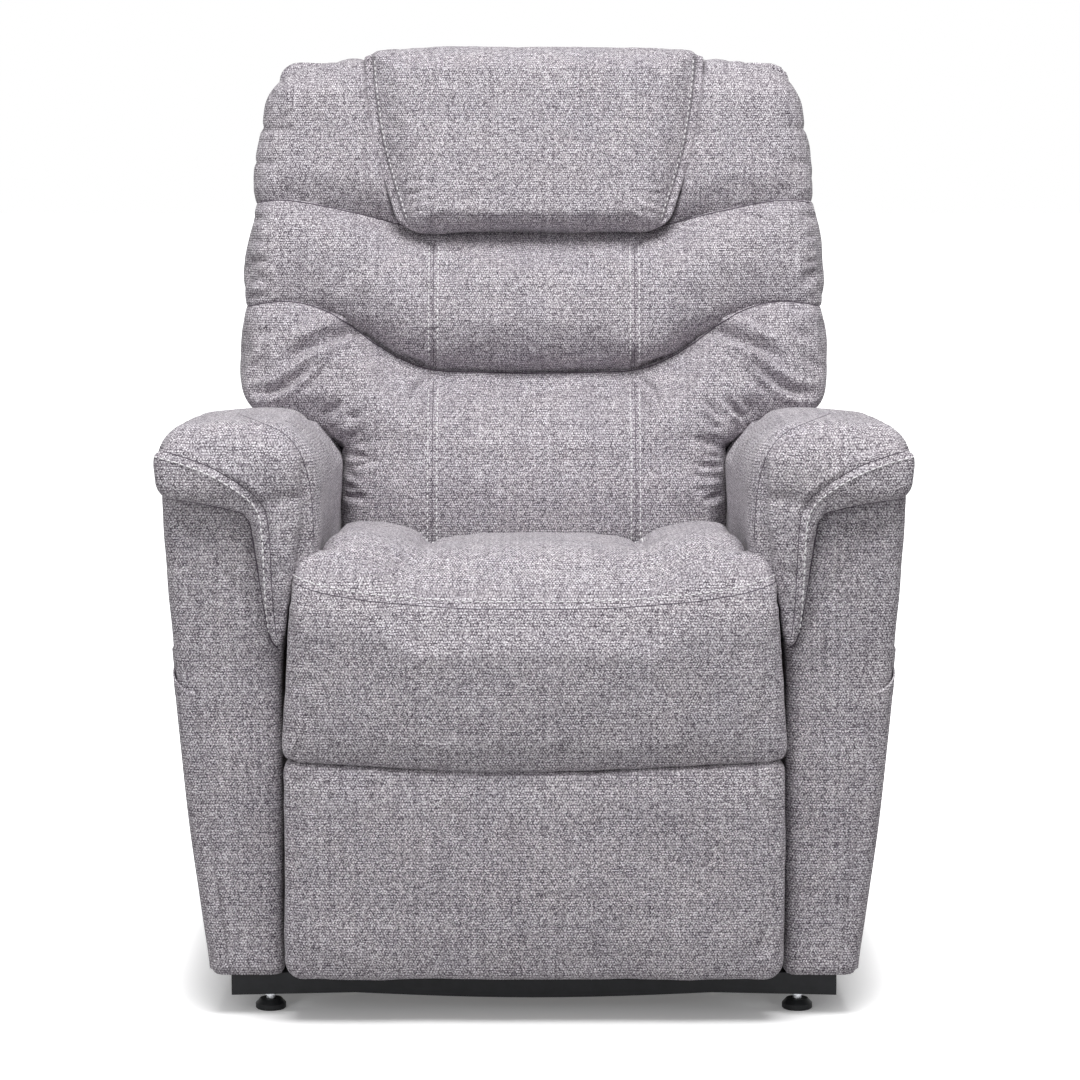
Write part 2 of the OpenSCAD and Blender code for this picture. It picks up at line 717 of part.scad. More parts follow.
// The arm pad's section as a ring of points: front is 1 on the flange and 0 along the arm, and so is
// hang for how far its inner edge hangs down
pad_gap = 0.5;
function pad_ring(front, drop, hang) = let(in = function(z) arm_inner(z) - pad_gap) [
  [arm_top_out + 1, ramp(arm_top - 8, arm_top - 12, front) - drop * (1 - front)],
  [arm_top_out + 9, arm_top + 8 - drop],
  [arm_top_out + 10, arm_top + 38 - drop],
  [arm_top_out + 3, arm_crest - 18 - drop],
  [arm_top_out - 22, arm_crest - 8 - drop],
  [arm_top_out - 69, arm_crest + 1 - drop],
  [arm_top_out - 120, arm_crest - drop],
  [arm_top_out - 152, arm_crest - 15 - drop],
  [ramp(248, 264, front), arm_crest - 40 - drop],
  [ramp(241, 265, front), ramp(595 - drop / 2, 560, hang)],
  [ramp(240, 268, front), ramp(555, 510, hang)],
  [ramp(242, 276, front), ramp(524, 450, hang)],
  [ramp(in(517), 279, front), ramp(516, 430, hang)],
  [ramp(in(530), 291, front), ramp(530, 416, hang)],
  [ramp(in(560), 300, front), ramp(560, 452, hang)],
  [ramp(in(arm_top), 311, front), ramp(arm_top, 520, hang)],
  [ramp(in(arm_top), 322, front), ramp(arm_top + pad_gap, 566, hang)],
  [ramp(arm_top_out + 0.8, 340, front), ramp(arm_top + pad_gap, 577, hang)]];

module arm_pad() {
  middle = [345, 0, 575];
  nose = arm_front - flange_t;
  rear = arm_rear + 4;
  // Along the arm: [y, front, drop, shrink, hang]
  stations = [[nose, 1, 14, 0.90, 1], [nose + 3, 1, 8, 0.955, 1], [nose + 9, 1, 3, 0.99, 1],
    [arm_front - 8, 1, 0, 1, 1], [arm_front - 0.7, 1, 0, 1, 1], [arm_front - 0.5, 1, 0, 1, 0],
    [arm_front - 0.3, 0, 0, 1, 0], [arm_front + 60, 0, -2, 1, 0], [-200, 0, 0, 1, 0],
    [-60, 0, arm_drop * 0.45, 1, 0], [80, 0, arm_drop, 1, 0], [rear - 14, 0, arm_drop, 1, 0],
    [rear, 0, arm_drop + 6, 1, 0]];
  rings = [for (s = stations) [for (p = pad_ring(s[1], s[2], s[4]))
    let(c = s[1] > 0 ? [ramp(middle[0], 300, 0.5), 580] : [330, 620])
    s[3] < 1 ? [c[0] + (p[0] - c[0]) * s[3], s[0], c[1] + (p[1] - c[1]) * s[3]] : [p[0], s[0], p[1]]]];
  n = len(rings[0]);
  last = len(rings) - 1;
  points = [for (r = rings) each r];
  walls = [for (k = [0 : last - 1], i = [0 : n - 1]) let(a = k * n + i, b = k * n + (i + 1) % n)
    each [[a, b, b + n], [a, b + n, a + n]]];
  // The ends are C-shaped, so they are closed in strips across the section
  cap = [[0, 1, 17], [1, 2, 17], [2, 3, 17], [3, 4, 17], [4, 5, 17], [5, 16, 17], [5, 6, 16], [6, 7, 16],
    [7, 15, 16], [7, 8, 15], [8, 9, 15], [9, 14, 15], [9, 10, 14], [10, 13, 14], [10, 11, 13], [11, 12, 13]];
  color("thistle") polyhedron(points, concat(walls, [for (t = cap) [t[2], t[1], t[0]]],
    [for (t = cap) [t[0] + last * n, t[1] + last * n, t[2] + last * n]]));
}
module arm_pad_left() { arm_pad(); }
module arm_pad_right() { mirror([1, 0, 0]) arm_pad(); }

// A side pocket: flat at its front, rear and lower edges and standing out at its rim
pocket_y = [-386, -40];
pocket_z = [56, pocket_rim];
module side_pocket() {
  nu = 12;
  levels = [pocket_z[0], 137, 196, 236, 300, 353];
  nv = len(levels);
  stand = function(y, z) 0.4 + (pocket_out - 0.4) * ease((z - 118) / 100)
    * ease((y - pocket_y[0] - 60) / 120) * ease((pocket_y[1] - y) / 60);
  rim = function(y) pocket_z[1] - 24 * ease((pocket_y[0] + 30 - y) / 30);
  place = function(i, j, out) let(y = ramp(pocket_y[0], pocket_y[1], i / nu), z = j < nv ? levels[j] : rim(y))
    [arm_outer(z) + stand(y, z) + out, y, z];
  color("rosybrown") grid_form(nu, nv,
    function(i, j) place(i, j, pocket_t), function(i, j) place(i, j, 0));
}
module side_pocket_left() { side_pocket(); }
module side_pocket_right() { mirror([1, 0, 0]) side_pocket(); }

control_box_size = [78, 140, 48];
control_box_y = -105;
control_box_lug = [22, 20, 3];
module control_box() {
  low = [-rail_inner_x + 4, control_box_y, seat_frame_z - control_box_size[2]];
  high = [low[0] + control_box_size[0], low[1] + control_box_size[1], seat_frame_z];
  color("dimgray") {
    block(low, [high[0], high[1], high[2] - control_box_lug[2] + eps]);
    block([low[0] - control_box_lug[0], low[1] + control_box_lug[1], high[2] - control_box_lug[2]],
      [high[0], high[1] - control_box_lug[1], high[2]]);
  }
}

// ---- Footrest ----

module footrest_hinge_brackets() {
  color("black") both() plate(push_x, 5) difference() {
    union() {
      link_2d(hinge_pivot, [seat_frame_front - 11, seat_deck + 4], 20);
      polygon([[seat_frame_front, seat_frame_z + 8], [seat_frame_front, seat_deck],
        [seat_frame_front + 24, seat_deck], [seat_frame_front + 24, seat_deck + 3],
        [seat_frame_front - 1, seat_deck + 3], [seat_frame_front - 4, seat_deck + 9],
        [seat_frame_front - 12, seat_deck + 9], [seat_frame_front - 8, seat_frame_z + 8]]);
    }
    translate(hinge_pivot) circle(d = act_pin_d + 2 * fit);
  }
}

module footrest_torque_tube() {
  color("dimgray") {
    difference() {
      union() {
        bar_x(-chassis_x + 2, chassis_x - 2, torque_pivot, cross_d + 2);
        both() plate(crank_x, link_t) link_2d(torque_pivot, push_high, 26);
        slotted_lugs(rest_act_x, torque_pivot, rest_lug, rest_slot);
      }
      both() bar_x(chassis_x - 28, chassis_x, torque_pivot, pin_d + 2 * fit);
      bar_x(-chassis_x + 40, chassis_x - 40, torque_pivot, cross_d + 2 - 2 * tube_wall);
    }
    both() bar_x(crank_x + 1, push_x + 6, push_high, act_pin_d);
  }
}

module footrest_push_links() {
  color("dimgray") both() plate(push_x, 5) difference() {
    link_2d(push_high, push_low, 22);
    translate(push_high) circle(d = act_pin_d + 2 * fit);
    translate(push_low) circle(d = act_pin_d + 1);
  }
}

// Steel plates behind the boards: up to the hinge pin, out to the push link's pin
module footrest_side_plates() {
  strip = [board_y, board_y + 14];
  color("black") both() {
    plate(plate_x, 5) {
      link_2d(hinge_pivot, [board_y + 7, hinge_pivot[1] - 40], 18);
      translate([strip[0], 110]) square([14, hinge_pivot[1] - 40 - 110]);
      link_2d(push_low, [board_y + 8, push_low[1] - 6], 22);
    }
    bar_x(push_x - 2, plate_x + 1, hinge_pivot, act_pin_d);
    bar_x(push_x - 2, plate_x + 1, push_low, act_pin_d);
  }
}

function pad_side(z) = track([[crease_z - 10, pad_half], [325, pad_half],
  [hinge_pivot[1] + knuckle, pad_top_half]], z);

module footrest_upper_pad() {
  nu = 18;
  nv = 12;
  low = crease_z + 1;
  high = hinge_pivot[1] + knuckle - 0.3;
  crown_y = 5;
  height = function(i, j) let(u = spread(i, nu), v = (spread(j, nv) + 1) / 2)
    ramp(low + 6 * u * u - 3, high, v);
  near = function(i, j) let(u = spread(i, nu), z = height(i, j), v = (z - low) / (high - low),
      dz = z - hinge_pivot[1],
      bulge = crown_y * sin(180 * min(1, max(0, v))) * (1 - pow(u, 4)),
      low_edge = 16 * (1 - sin(90 * min(1, (z - low + 4) / 22))),
      side = 9 * (1 - rounded(u, 8)))
    [u * pad_side(z), dz > 0
      ? hinge_pivot[0] - sqrt(max(0.2, knuckle * knuckle - dz * dz)) - bulge * 0.4 + side * 0.5
      : pad_front - bulge + low_edge + side, z];
  far = function(i, j) let(u = spread(i, nu), z = height(i, j), dz = z - hinge_pivot[1])
    [u * pad_side(z),
      dz > 0 ? hinge_pivot[0] + sqrt(max(0.2, knuckle * knuckle - dz * dz)) : pad_rear - 0.5, z];
  notch = [push_x - 3, plate_x + 9];
  color("thistle") difference() {
    grid_form(nu, nv, near, far);
    both() block([notch[0], hinge_pivot[0] - 12, hinge_pivot[1] - 95], [notch[1], pad_rear + 1, high + 5]);
  }
}

module footrest_lower_pad() {
  nu = 16;
  nv = 8;
  corner = 22;
  high = crease_z - 3;
  near = function(i, j) let(u = spread(i, nu), v = (spread(j, nv) + 1) / 2, z = ramp(footrest_z, high, v),
      edge = 14 * (1 - rounded(u, 10)) + 12 * (1 - sin(90 * min(1, (high - z) / 16)))
        + 10 * (1 - sin(90 * min(1, (z - footrest_z) / 14))))
    [u * lower_side(z), pad_front - 3 * sin(180 * v) * (1 - u * u) + edge, z];
  lower_side = function(z) z < footrest_z + corner
    ? pad_half - corner + sqrt(max(0, corner * corner - pow(footrest_z + corner - z, 2))) : pad_half;
  far = function(i, j) let(u = spread(i, nu), z = ramp(footrest_z, high, (spread(j, nv) + 1) / 2))
    [u * lower_side(z), pad_rear - 0.5, z];
  color("thistle") grid_form(nu, nv, near, far);
}

module footrest_board(low, high) {
  half = crank_x - 4;
  color("tan") block([-half, pad_rear, low], [half, pad_rear + board_t, high]);
  // Battens join the board to the steel side plates
  color("tan") both() for (z = [low + 12, high - 66]) {
    block([half - eps, pad_rear, z], [plate_x + 12, pad_rear + 2, z + 20]);
  }
}
module footrest_upper_board() { footrest_board(crease_z + 8, hinge_pivot[1] - 45); }
module footrest_lower_board() { footrest_board(footrest_z + 8, crease_z - 8); }

// ---- Back ----

// The front plane of the back frame at a height
plane_set = 25;
function plane_y(z) = back_pivot[0] + (z - back_pivot[1]) * tan(lean) - plane_set / cos(lean);
// The half width of the back at a height
function back_side(z) = track([[588, lumbar_half], [612, lumbar_half + 10], [633, lumbar_half + 15],
  [648, lumbar_half + 54], [656, wing_half - 22],
  [668, wing_half - 5], [690, wing_half], [776, wing_half - 2], [850, wing_half - 5], [907, wing_half - 12],
  [963, wing_half - 14], [1002, wing_half - 25], [1040, wing_half - 33], [1060, wing_half - 42],
  [1079, wing_half - 59], [back_top, wing_half - 95]], z);
// The two seams that cross the back, by the distance from the middle
function low_seam(x) = track([[0, 693], [129, 696], [195, 725], [245, 763], [308, 785], [370, 776]], abs(x));
function high_seam(x) = track([[0, 875], [170, 880], [260, 903], [323, 913], [370, 907]], abs(x));

module at_back() {
  translate([0, back_pivot[0], back_pivot[1]]) rotate([-lean, 0, 0]) children();
}

// A section of the back from its lower to its upper edge; depth(x, z, t) is its thickness, and the ends
// of its wings, and its top where capped, reach back past the frame
module back_section(nu, nv, low, high, depth, capped = false, column = function(i, n) spread(i, n)) {
  lip = frame_t - 1;
  side_round = function(u) 0.06 + 0.94 * rounded(u, 4.5);
  spot = function(i, j) let(u = column(i, nu), t = (spread(j, nv) + 1) / 2, x = u * wing_half,
      z = ramp(low(x), high(x), t))
    [u * back_side(z), z, u, t];
  near = function(i, j) let(p = spot(i, j), thick = max(1, depth(p[0], p[1], p[3]) * side_round(p[2])))
    [p[0], plane_y(p[1]) - thick, p[1]];
  far = function(i, j) let(p = spot(i, j),
      edge = ((i < 2 || i > nu - 2) && p[1] > 640) || (capped && j > nv - 2))
    [p[0] * (i == 1 || i == nu - 1 ? 0.985 : 1), plane_y(p[1]) + (edge ? lip : -0.6), p[1]];
  color("thistle") grid_form(nu, nv, near, far);
}

function channels(x) = 11 * (bump(x - channel_x, 13) + bump(x + channel_x, 13));
// A section's crown between two seams, with both edges drawn in
function pillowed(t) = 1 - (draw / crown) * (pow(abs(2 * t - 1), 3));

module back_lower_section() {
  back_section(20, 11, function(x) 440, function(x) low_seam(x) - 2,
    function(x, z, t) (crown + 14) * (t > 0.5 ? 1 - 0.45 * pow(2 * t - 1, 5) : 1 - 0.3 * pow(1 - 2 * t, 4))
      - channels(x));
}

module back_middle_section() {
  back_section(20, 9, function(x) low_seam(x) + 1, function(x) high_seam(x) - 5,
    function(x, z, t) crown * pillowed(t) - channels(x));
}

// The upper section is thinner behind the headrest pillow, and its columns stand closer at the pillow's edges
pillow_seat = 62;
upper_columns = [0, 0.22, 0.42, 0.49, 0.55, 0.61, 0.67, 0.75, 0.85, 0.93, 0.985, 1];
module back_upper_section() {
  half = len(upper_columns) - 1;
  back_section(2 * half, 9, function(x) high_seam(x) + 8 * (1 - ease((abs(x) - 175) / 20)),
    function(x) back_top,
    function(x, z, t) let(full = crown * (1 - 0.36 * pow(1 - t, 6) - 0.75 * pow(t, 5)),
        hidden = 1 - ease((abs(x) - pillow_side(z) - 24) / 12))
      ramp(full, min(full, pillow_seat - 3), hidden), true,
    function(i, n) sign(i - half) * upper_columns[abs(i - half)]);
}

// Inner face of the back frame's side rails, from the middle
frame_x = lumbar_half - 24;

// Wooden frame of the back
module back_frame() {
  foot = 60;
  high = 745;
  low_x = frame_x;
  rail = 22;
  top_x = 290;
  color("tan") at_back() {
    both() block([low_x, -plane_set, foot], [low_x + rail, -plane_set + frame_t, high]);
    both() block([top_x, -plane_set, 345], [top_x + rail, -plane_set + frame_t, high - 62]);
    for (z = [108, 345, 540, high - 62]) {
      reach = z > 300 ? top_x + eps : low_x + eps;
      block([-reach, -plane_set, z], [reach, -plane_set + frame_t, z + 40]);
    }
  }
}

module back_torque_tube() {
  color("black") {
    difference() {
      bar_x(-chassis_x + 2, chassis_x - 2, back_pivot, cross_d);
      bar_x(-chassis_x + 30, chassis_x - 30, back_pivot, cross_d - 2 * tube_wall);
      both() bar_x(chassis_x - 28, chassis_x, back_pivot, pin_d + 2 * fit);
    }
    difference() {
      slotted_lugs(back_act_x, back_pivot, back_lug, back_slot);
      bar_x(back_act_x - 30, back_act_x + 30, back_pivot, cross_d - 2);
    }
    at_back() both() difference() {
      block([frame_x - 6, -plane_set, -10], [frame_x - 0.2, 5, 104]);
      translate([frame_x - 12, 0, 0]) rotate([0, 90, 0]) cylinder(h = 20, d = cross_d - 2);
    }
  }
}

module back_webbing() {
  t = 2;
  color("gray") at_back() for (z = [190, 245, 300, 420, 480, 590, 637]) {
    block([1 - frame_x, -plane_set - 0.2 + 3, z], [frame_x - 1, -plane_set + 3 + t, z + 40]);
  }
}

module back_rear_cover() {
  nu = 14;
  nv = 11;
  wide = function(z) track([[rear_z, 236], [610, 240], [700, wing_half - 16]], z);
  side = function(z) min(wide(z), back_side(z) - 2);
  height = function(j) ramp(rear_z, back_top - 4, (spread(j, nv) + 1) / 2);
  near = function(i, j) let(u = spread(i, nu), z = height(j), v = (spread(j, nv) + 1) / 2)
    [-u * side(z),
      plane_y(z) + frame_t + 4 + rear_t * (0.15 + 0.85 * rounded(u, 4) * rounded(2 * v - 1, 5)), z];
  far = function(i, j) let(u = spread(i, nu), z = height(j)) [-u * side(z), plane_y(z) + frame_t + 2.5, z];
  color("rosybrown") grid_form(nu, nv, near, far);
}

// ---- Headrest ----

head_pivot = [plane_y(pillow_z + 8) - pillow_seat - 6, pillow_z + 8];

pillow_top = back_top + 13;
function pillow_side(z) = track([[pillow_z, pillow_low_half - 8], [pillow_z + 14, pillow_low_half + 6],
  [976, 190], [1053, 206], [pillow_top, pillow_top_half]], z);

module headrest_pillow() {
  nu = 16;
  nv = 10;
  spot = function(i, j) let(u = spread(i, nu), t = (spread(j, nv) + 1) / 2)
    [u, t, ramp(pillow_z, pillow_top, t)];
  near = function(i, j) let(p = spot(i, j), z = p[2],
      swell = 0.12 + 0.88 * rounded(p[0], 5) * rounded(2 * p[1] - 1, 4.5))
    [p[0] * pillow_side(z), plane_y(z) - pillow_seat - 13 - (pillow_t - 13) * swell, z];
  // Its lower rear edge is cut back, so that it clears the middle section when the headrest tilts
  far = function(i, j) let(p = spot(i, j), z = p[2])
    [p[0] * pillow_side(z), plane_y(z) - pillow_seat - 12.5, j == 0 ? z + 5 : z];
  color("thistle") grid_form(nu, nv, near, far);
}

// Plywood board behind the pillow with the barrel of its hinge
module headrest_board() {
  t = 10;
  barrel = 11;
  color("tan") {
    difference() {
      translate([0, head_pivot[0], head_pivot[1]]) rotate([-lean, 0, 0])
        block([-160, -t / 2, 2], [160, t / 2, 200]);
      both() bar_x(96, 124, head_pivot, barrel + 6);
    }
    bar_x(-95.5, 95.5, head_pivot, barrel);
  }
}

// ---- Handset, drawn upright and leaning with the outside of the right arm ----

handset_z = 236;
handset_y = -150;
handset_lean = atan2(arm_outer(353) - arm_outer(236), 353 - 236);

module at_handset() {
  translate([-arm_outer(handset_z) - 1.5, handset_y, handset_z]) rotate([0, -handset_lean, 0]) children();
}

button_z = [[104, 126], [-11, 11]];
module at_button(column, line) {
  at_handset() translate([-handset_t, button_z[1][column], button_z[0][line]]) rotate([0, -90, 0]) children();
}

module handset_shell() {
  well = 4;
  color("dimgray") difference() {
    at_handset() translate([-handset_t, 0, handset_len / 2]) rotate([90, 0, 90]) linear_extrude(handset_t)
      round_square(handset_w, handset_len, 10);
    for (c = [0, 1], l = [0, 1]) {
      at_button(c, l) translate([0, 0, -well]) cylinder(h = well + 1, d = button_d + 2 * fit);
    }
  }
}

module handset_button(column, line) {
  travel = 1.6;
  color("silver") at_button(column, line) translate([0, 0, -4 + travel])
    cylinder(h = 4 - travel + button_h, d = button_d);
}
module handset_button_up() { handset_button(0, 1); }
module handset_button_down() { handset_button(1, 1); }
module handset_button_head_up() { handset_button(0, 0); }
module handset_button_head_down() { handset_button(1, 0); }

placed() base_side_rails();
placed() front_cross_bar();
placed() rear_cross_tube();
placed() foot_pads();
placed() foot_studs();
placed() foot_jam_nuts();
placed() base_pivot_brackets();
placed() base_pivot_pins();
placed() power_supply();
placed() lift_motor();
placed() lift_actuator_tube();
placed() lift_rod();
placed() rear_lift_arms();
placed() lift_torque_tube();
placed() front_lift_links();
placed() chassis_side_plates();
placed() chassis_cross_tubes();
placed() chassis_pivot_pins();
placed() seat_frame();
placed() seat_springs();
placed() seat_cushion();
placed() arm_frame_left();
placed() arm_frame_right();
placed() arm_panel_left();
placed() arm_panel_right();
placed() arm_pad_left();
placed() arm_pad_right();
placed() side_pocket_left();
placed() side_pocket_right();
placed() arm_dust_covers();
placed() footrest_hinge_brackets();
placed() control_box();
placed() footrest_torque_tube();
placed() footrest_push_links();
placed() footrest_upper_pad();
placed() footrest_upper_board();
placed() footrest_lower_pad();
placed() footrest_lower_board();
placed() footrest_side_plates();
placed() footrest_motor();
placed() footrest_actuator_tube();
placed() footrest_rod();
placed() back_frame();
placed() back_torque_tube();
placed() back_webbing();
placed() back_lower_section();
placed() back_middle_section();
placed() back_upper_section();
placed() back_rear_cover();
placed() back_motor();
placed() back_actuator_tube();
placed() back_rod();
placed() headrest_pillow();
placed() headrest_board();
placed() handset_shell();
placed() handset_button_up();
placed() handset_button_down();
placed() handset_button_head_up();
placed() handset_button_head_down();
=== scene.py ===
import json
import math

import bpy
import numpy as np
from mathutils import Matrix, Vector
from mathutils.bvhtree import BVHTree


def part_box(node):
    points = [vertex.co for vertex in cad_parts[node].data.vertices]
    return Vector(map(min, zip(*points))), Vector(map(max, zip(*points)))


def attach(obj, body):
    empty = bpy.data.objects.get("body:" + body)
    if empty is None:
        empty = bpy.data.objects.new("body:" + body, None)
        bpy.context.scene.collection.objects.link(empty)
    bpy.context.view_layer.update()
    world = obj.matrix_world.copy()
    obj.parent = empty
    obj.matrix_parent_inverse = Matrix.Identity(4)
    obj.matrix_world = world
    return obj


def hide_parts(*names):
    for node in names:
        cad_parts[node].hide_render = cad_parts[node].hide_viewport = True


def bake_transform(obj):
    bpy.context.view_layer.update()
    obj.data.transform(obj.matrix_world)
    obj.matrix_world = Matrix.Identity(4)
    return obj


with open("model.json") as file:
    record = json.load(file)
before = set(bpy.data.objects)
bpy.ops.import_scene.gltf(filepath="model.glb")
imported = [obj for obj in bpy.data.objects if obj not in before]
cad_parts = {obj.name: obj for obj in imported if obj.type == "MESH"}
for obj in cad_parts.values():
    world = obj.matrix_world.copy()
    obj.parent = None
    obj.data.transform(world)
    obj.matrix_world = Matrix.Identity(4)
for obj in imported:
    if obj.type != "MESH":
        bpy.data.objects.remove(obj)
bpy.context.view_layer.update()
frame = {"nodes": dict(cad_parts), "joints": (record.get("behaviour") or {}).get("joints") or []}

MM = 0.001


def cad(node):
    """Lowest and highest corner of a CAD node, in mm."""
    low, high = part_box(node)
    return np.array(low) / MM, np.array(high) / MM


def pivot(joint):
    """Where a hinge turns, as (y, z) in mm."""
    return [c / MM for c in next(j for j in frame["joints"] if j["name"] == joint)["pos_m"][1:]]


# ---- Places taken from the frame ----

BACK_Y, BACK_Z = pivot("back_recline")
HINGE_Y, HINGE_Z = pivot("footrest")
(_, ARM_FRONT, ARM_LOW), (_, ARM_REAR, ARM_TOP) = cad("arm_panel_left")
(_, POCKET_FRONT, POCKET_LOW), (_, POCKET_REAR, POCKET_RIM) = cad("side_pocket_left")
UPPER_PAD = cad("footrest_upper_pad")
SEAT = cad("seat_cushion")
REAR_COVER = cad("back_rear_cover")


# ---- Numbers ----


def ease(t):
    """A smooth step from 0 to 1, as t goes from 0 to 1."""
    t = np.clip(t, 0, 1)
    return t * t * (3 - 2 * t)


def bump(t, width):
    """A bell that is 1 at 0."""
    return np.exp(-((t / width) ** 2))


def track(pairs, t):
    """Straight lines through (t, value) pairs."""
    return np.interp(t, [p[0] for p in pairs], [p[1] for p in pairs])


def smooth_track(pairs, t, width=12):
    """The same with its corners rounded over a width."""
    return sum(track(pairs, t + o * width) for o in (-1, -0.5, 0, 0.5, 1)) / 5


def ripples(x, y, z, scale, seed):
    """Smooth unevenness from -1 to 1, a sum of slow waves."""
    rng = np.random.default_rng(seed)
    total = np.zeros(np.broadcast(x, y, z).shape)
    for _ in range(7):
        direction = rng.normal(size=3)
        direction *= 2 * math.pi / (scale * rng.uniform(0.7, 1.6) * np.linalg.norm(direction))
        total = total + np.sin(direction[0] * x + direction[1] * y + direction[2] * z + rng.uniform(0, 6.28))
    return total / 3.5


# ---- Fields: under 0 inside, 0 on the skin, in mm ----


def meet(radius, *fields):
    """What is inside every field, with its edges rounded."""
    result = fields[0]
    for f in fields[1:]:
        outside = np.hypot(np.maximum(radius + result, 0), np.maximum(radius + f, 0))
        result = np.minimum(-radius, np.maximum(result, f)) + outside
    return result


def join(radius, a, b):
    """What is inside either field, with the corner between them filled."""
    corner = np.hypot(np.maximum(radius - a, 0), np.maximum(radius - b, 0))
    return np.maximum(radius, np.minimum(a, b)) - corner


def outline(corners, x, z):
    """Signed distance to a flat outline, under 0 inside it."""
    nearest = np.full(np.shape(x), 1e9)
    inside = np.zeros(np.shape(x), bool)
    for (ax, az), (bx, bz) in zip(corners, corners[1:] + corners[:1]):
        ex, ez = bx - ax, bz - az
        t = np.clip(((x - ax) * ex + (z - az) * ez) / (ex * ex + ez * ez), 0, 1)
        nearest = np.minimum(nearest, np.hypot(x - ax - t * ex, z - az - t * ez))
        crosses = (az > z) != (bz > z)
        inside ^= crosses & (x < ax + (z - az) * ex / (ez if ez else 1e-9))
    return np.where(inside, -nearest, nearest)


# ---- Meshes ----


def piece_of(name, points, faces, smooth=True):
    mesh = bpy.data.meshes.new(name)
    mesh.from_pydata((np.asarray(points) * MM).tolist(), [], [list(map(int, f)) for f in faces])
    mesh.polygons.foreach_set("use_smooth", [smooth] * len(mesh.polygons))
    mesh.update()
    piece = bpy.data.objects.new(name, mesh)
    bpy.context.scene.collection.objects.link(piece)
    return piece


def skin(name, low, high, field, step=5.0):
    """The closed skin of a field, as even quads about a step wide."""
    axes = [np.arange(a - 2 * step, b + 2.5 * step, step) for a, b in zip(low, high)]
    grid = np.stack(np.meshgrid(*axes, indexing="ij"), -1)
    values = field(grid[..., 0], grid[..., 1], grid[..., 2])
    cells = np.array(values.shape) - 1
    total, count = np.zeros((*cells, 3)), np.zeros(cells)

    def at(array, corner):
        return array[tuple(slice(c, c + n) for c, n in zip(corner, cells))]

    for axis in range(3):
        for other in ((0, 0), (0, 1), (1, 0), (1, 1)):
            first = list(other)
            first.insert(axis, 0)
            second = list(other)
            second.insert(axis, 1)
            a, b = at(values, first), at(values, second)
            crossed = (a < 0) != (b < 0)
            t = np.where(crossed, a / np.where(crossed, a - b, 1), 0)[..., None]
            total += crossed[..., None] * ((1 - t) * at(grid, first) + t * at(grid, second))
            count += crossed
    used = count > 0
    index = np.full(cells, -1)
    index[used] = np.arange(used.sum())
    points = total[used] / count[used][:, None]
    inside, faces = values < 0, []
    unit = np.eye(3, dtype=int)
    for axis, b, c in ((0, 1, 2), (1, 2, 0), (2, 0, 1)):
        near = [slice(1, -1)] * 3
        near[axis] = slice(0, -1)
        far = list(near)
        far[axis] = slice(1, None)
        starts, ends = inside[tuple(near)], inside[tuple(far)]
        corner = np.argwhere(starts != ends) + 1 - unit[axis]
        ring = [corner - unit[b] - unit[c], corner - unit[c], corner, corner - unit[b]]
        quads = np.stack([index[tuple(r.T)] for r in ring], 1)
        turned = ends[starts != ends]
        quads[turned] = quads[turned][:, ::-1]
        faces.append(quads)
    for _ in range(3):
        points = settle(points, field, step)
    return piece_of(name, points, np.concatenate(faces))


def settle(points, field, step):
    """Moves points onto a field's skin, by at most half a step."""
    value, reach = field(*points.T), 0.6
    slope = np.stack([(field(*(points + reach * d).T) - field(*(points - reach * d).T)) / (2 * reach)
                      for d in np.eye(3)], 1)
    move = value[:, None] * slope / (np.sum(slope * slope, 1)[:, None] + 1e-6)
    length = np.linalg.norm(move, axis=1)[:, None]
    return points - move * np.minimum(1, step / 2 / np.maximum(length, 1e-9))


def places(piece):
    """Vertices' places in mm and their normals."""
    mesh = piece.data
    co, no = np.empty(len(mesh.vertices) * 3), np.empty(len(mesh.vertices) * 3)
    mesh.vertices.foreach_get("co", co)
    mesh.vertices.foreach_get("normal", no)
    return co.reshape(-1, 3) / MM, no.reshape(-1, 3)


def place(piece, points):
    piece.data.vertices.foreach_set("co", (points * MM).ravel())
    piece.data.update()


def finer(piece):
    """One Catmull-Clark subdivision, applied."""
    modifier = piece.modifiers.new("finer", "SUBSURF")
    evaluated = piece.evaluated_get(bpy.context.evaluated_depsgraph_get())
    mesh = bpy.data.meshes.new_from_object(evaluated)
    piece.modifiers.remove(modifier)
    piece.data = mesh


CLOTH_FRAMES = 20


def swell(piece, sewn, cap, pressure, spare):
    """Cloth pressure swells the piece by up to cap, but not where sewn(x, y, z) is 1.

    spare is its share of loose cloth."""
    start, _ = places(piece)
    weight = np.round(np.clip(sewn(*start.T), 0, 1), 1)
    group = piece.vertex_groups.new(name="sewn")
    for level in np.unique(weight):
        group.add(np.flatnonzero(weight == level).tolist(), float(level), "REPLACE")
    modifier = piece.modifiers.new("cloth", "CLOTH")
    cloth = modifier.settings
    cloth.quality = 5
    cloth.use_pressure = True
    cloth.uniform_pressure_force = pressure
    cloth.effector_weights.gravity = 0
    cloth.vertex_group_mass = "sewn"
    cloth.shrink_min = -spare
    cloth.bending_stiffness = 0.5
    modifier.point_cache.frame_start = 1
    modifier.point_cache.frame_end = CLOTH_FRAMES
    scene = bpy.context.scene
    for f in range(1, CLOTH_FRAMES + 1):
        scene.frame_set(f)
    evaluated = piece.evaluated_get(bpy.context.evaluated_depsgraph_get())
    moved = np.empty(len(start) * 3)
    evaluated.data.vertices.foreach_get("co", moved)
    move = moved.reshape(-1, 3) / MM - start
    length = np.linalg.norm(move, axis=1)[:, None]
    piece.modifiers.remove(modifier)
    piece.vertex_groups.remove(group)
    place(piece, start + move * np.minimum(1, cap / np.maximum(length, 1e-9)))
    scene.frame_set(1)


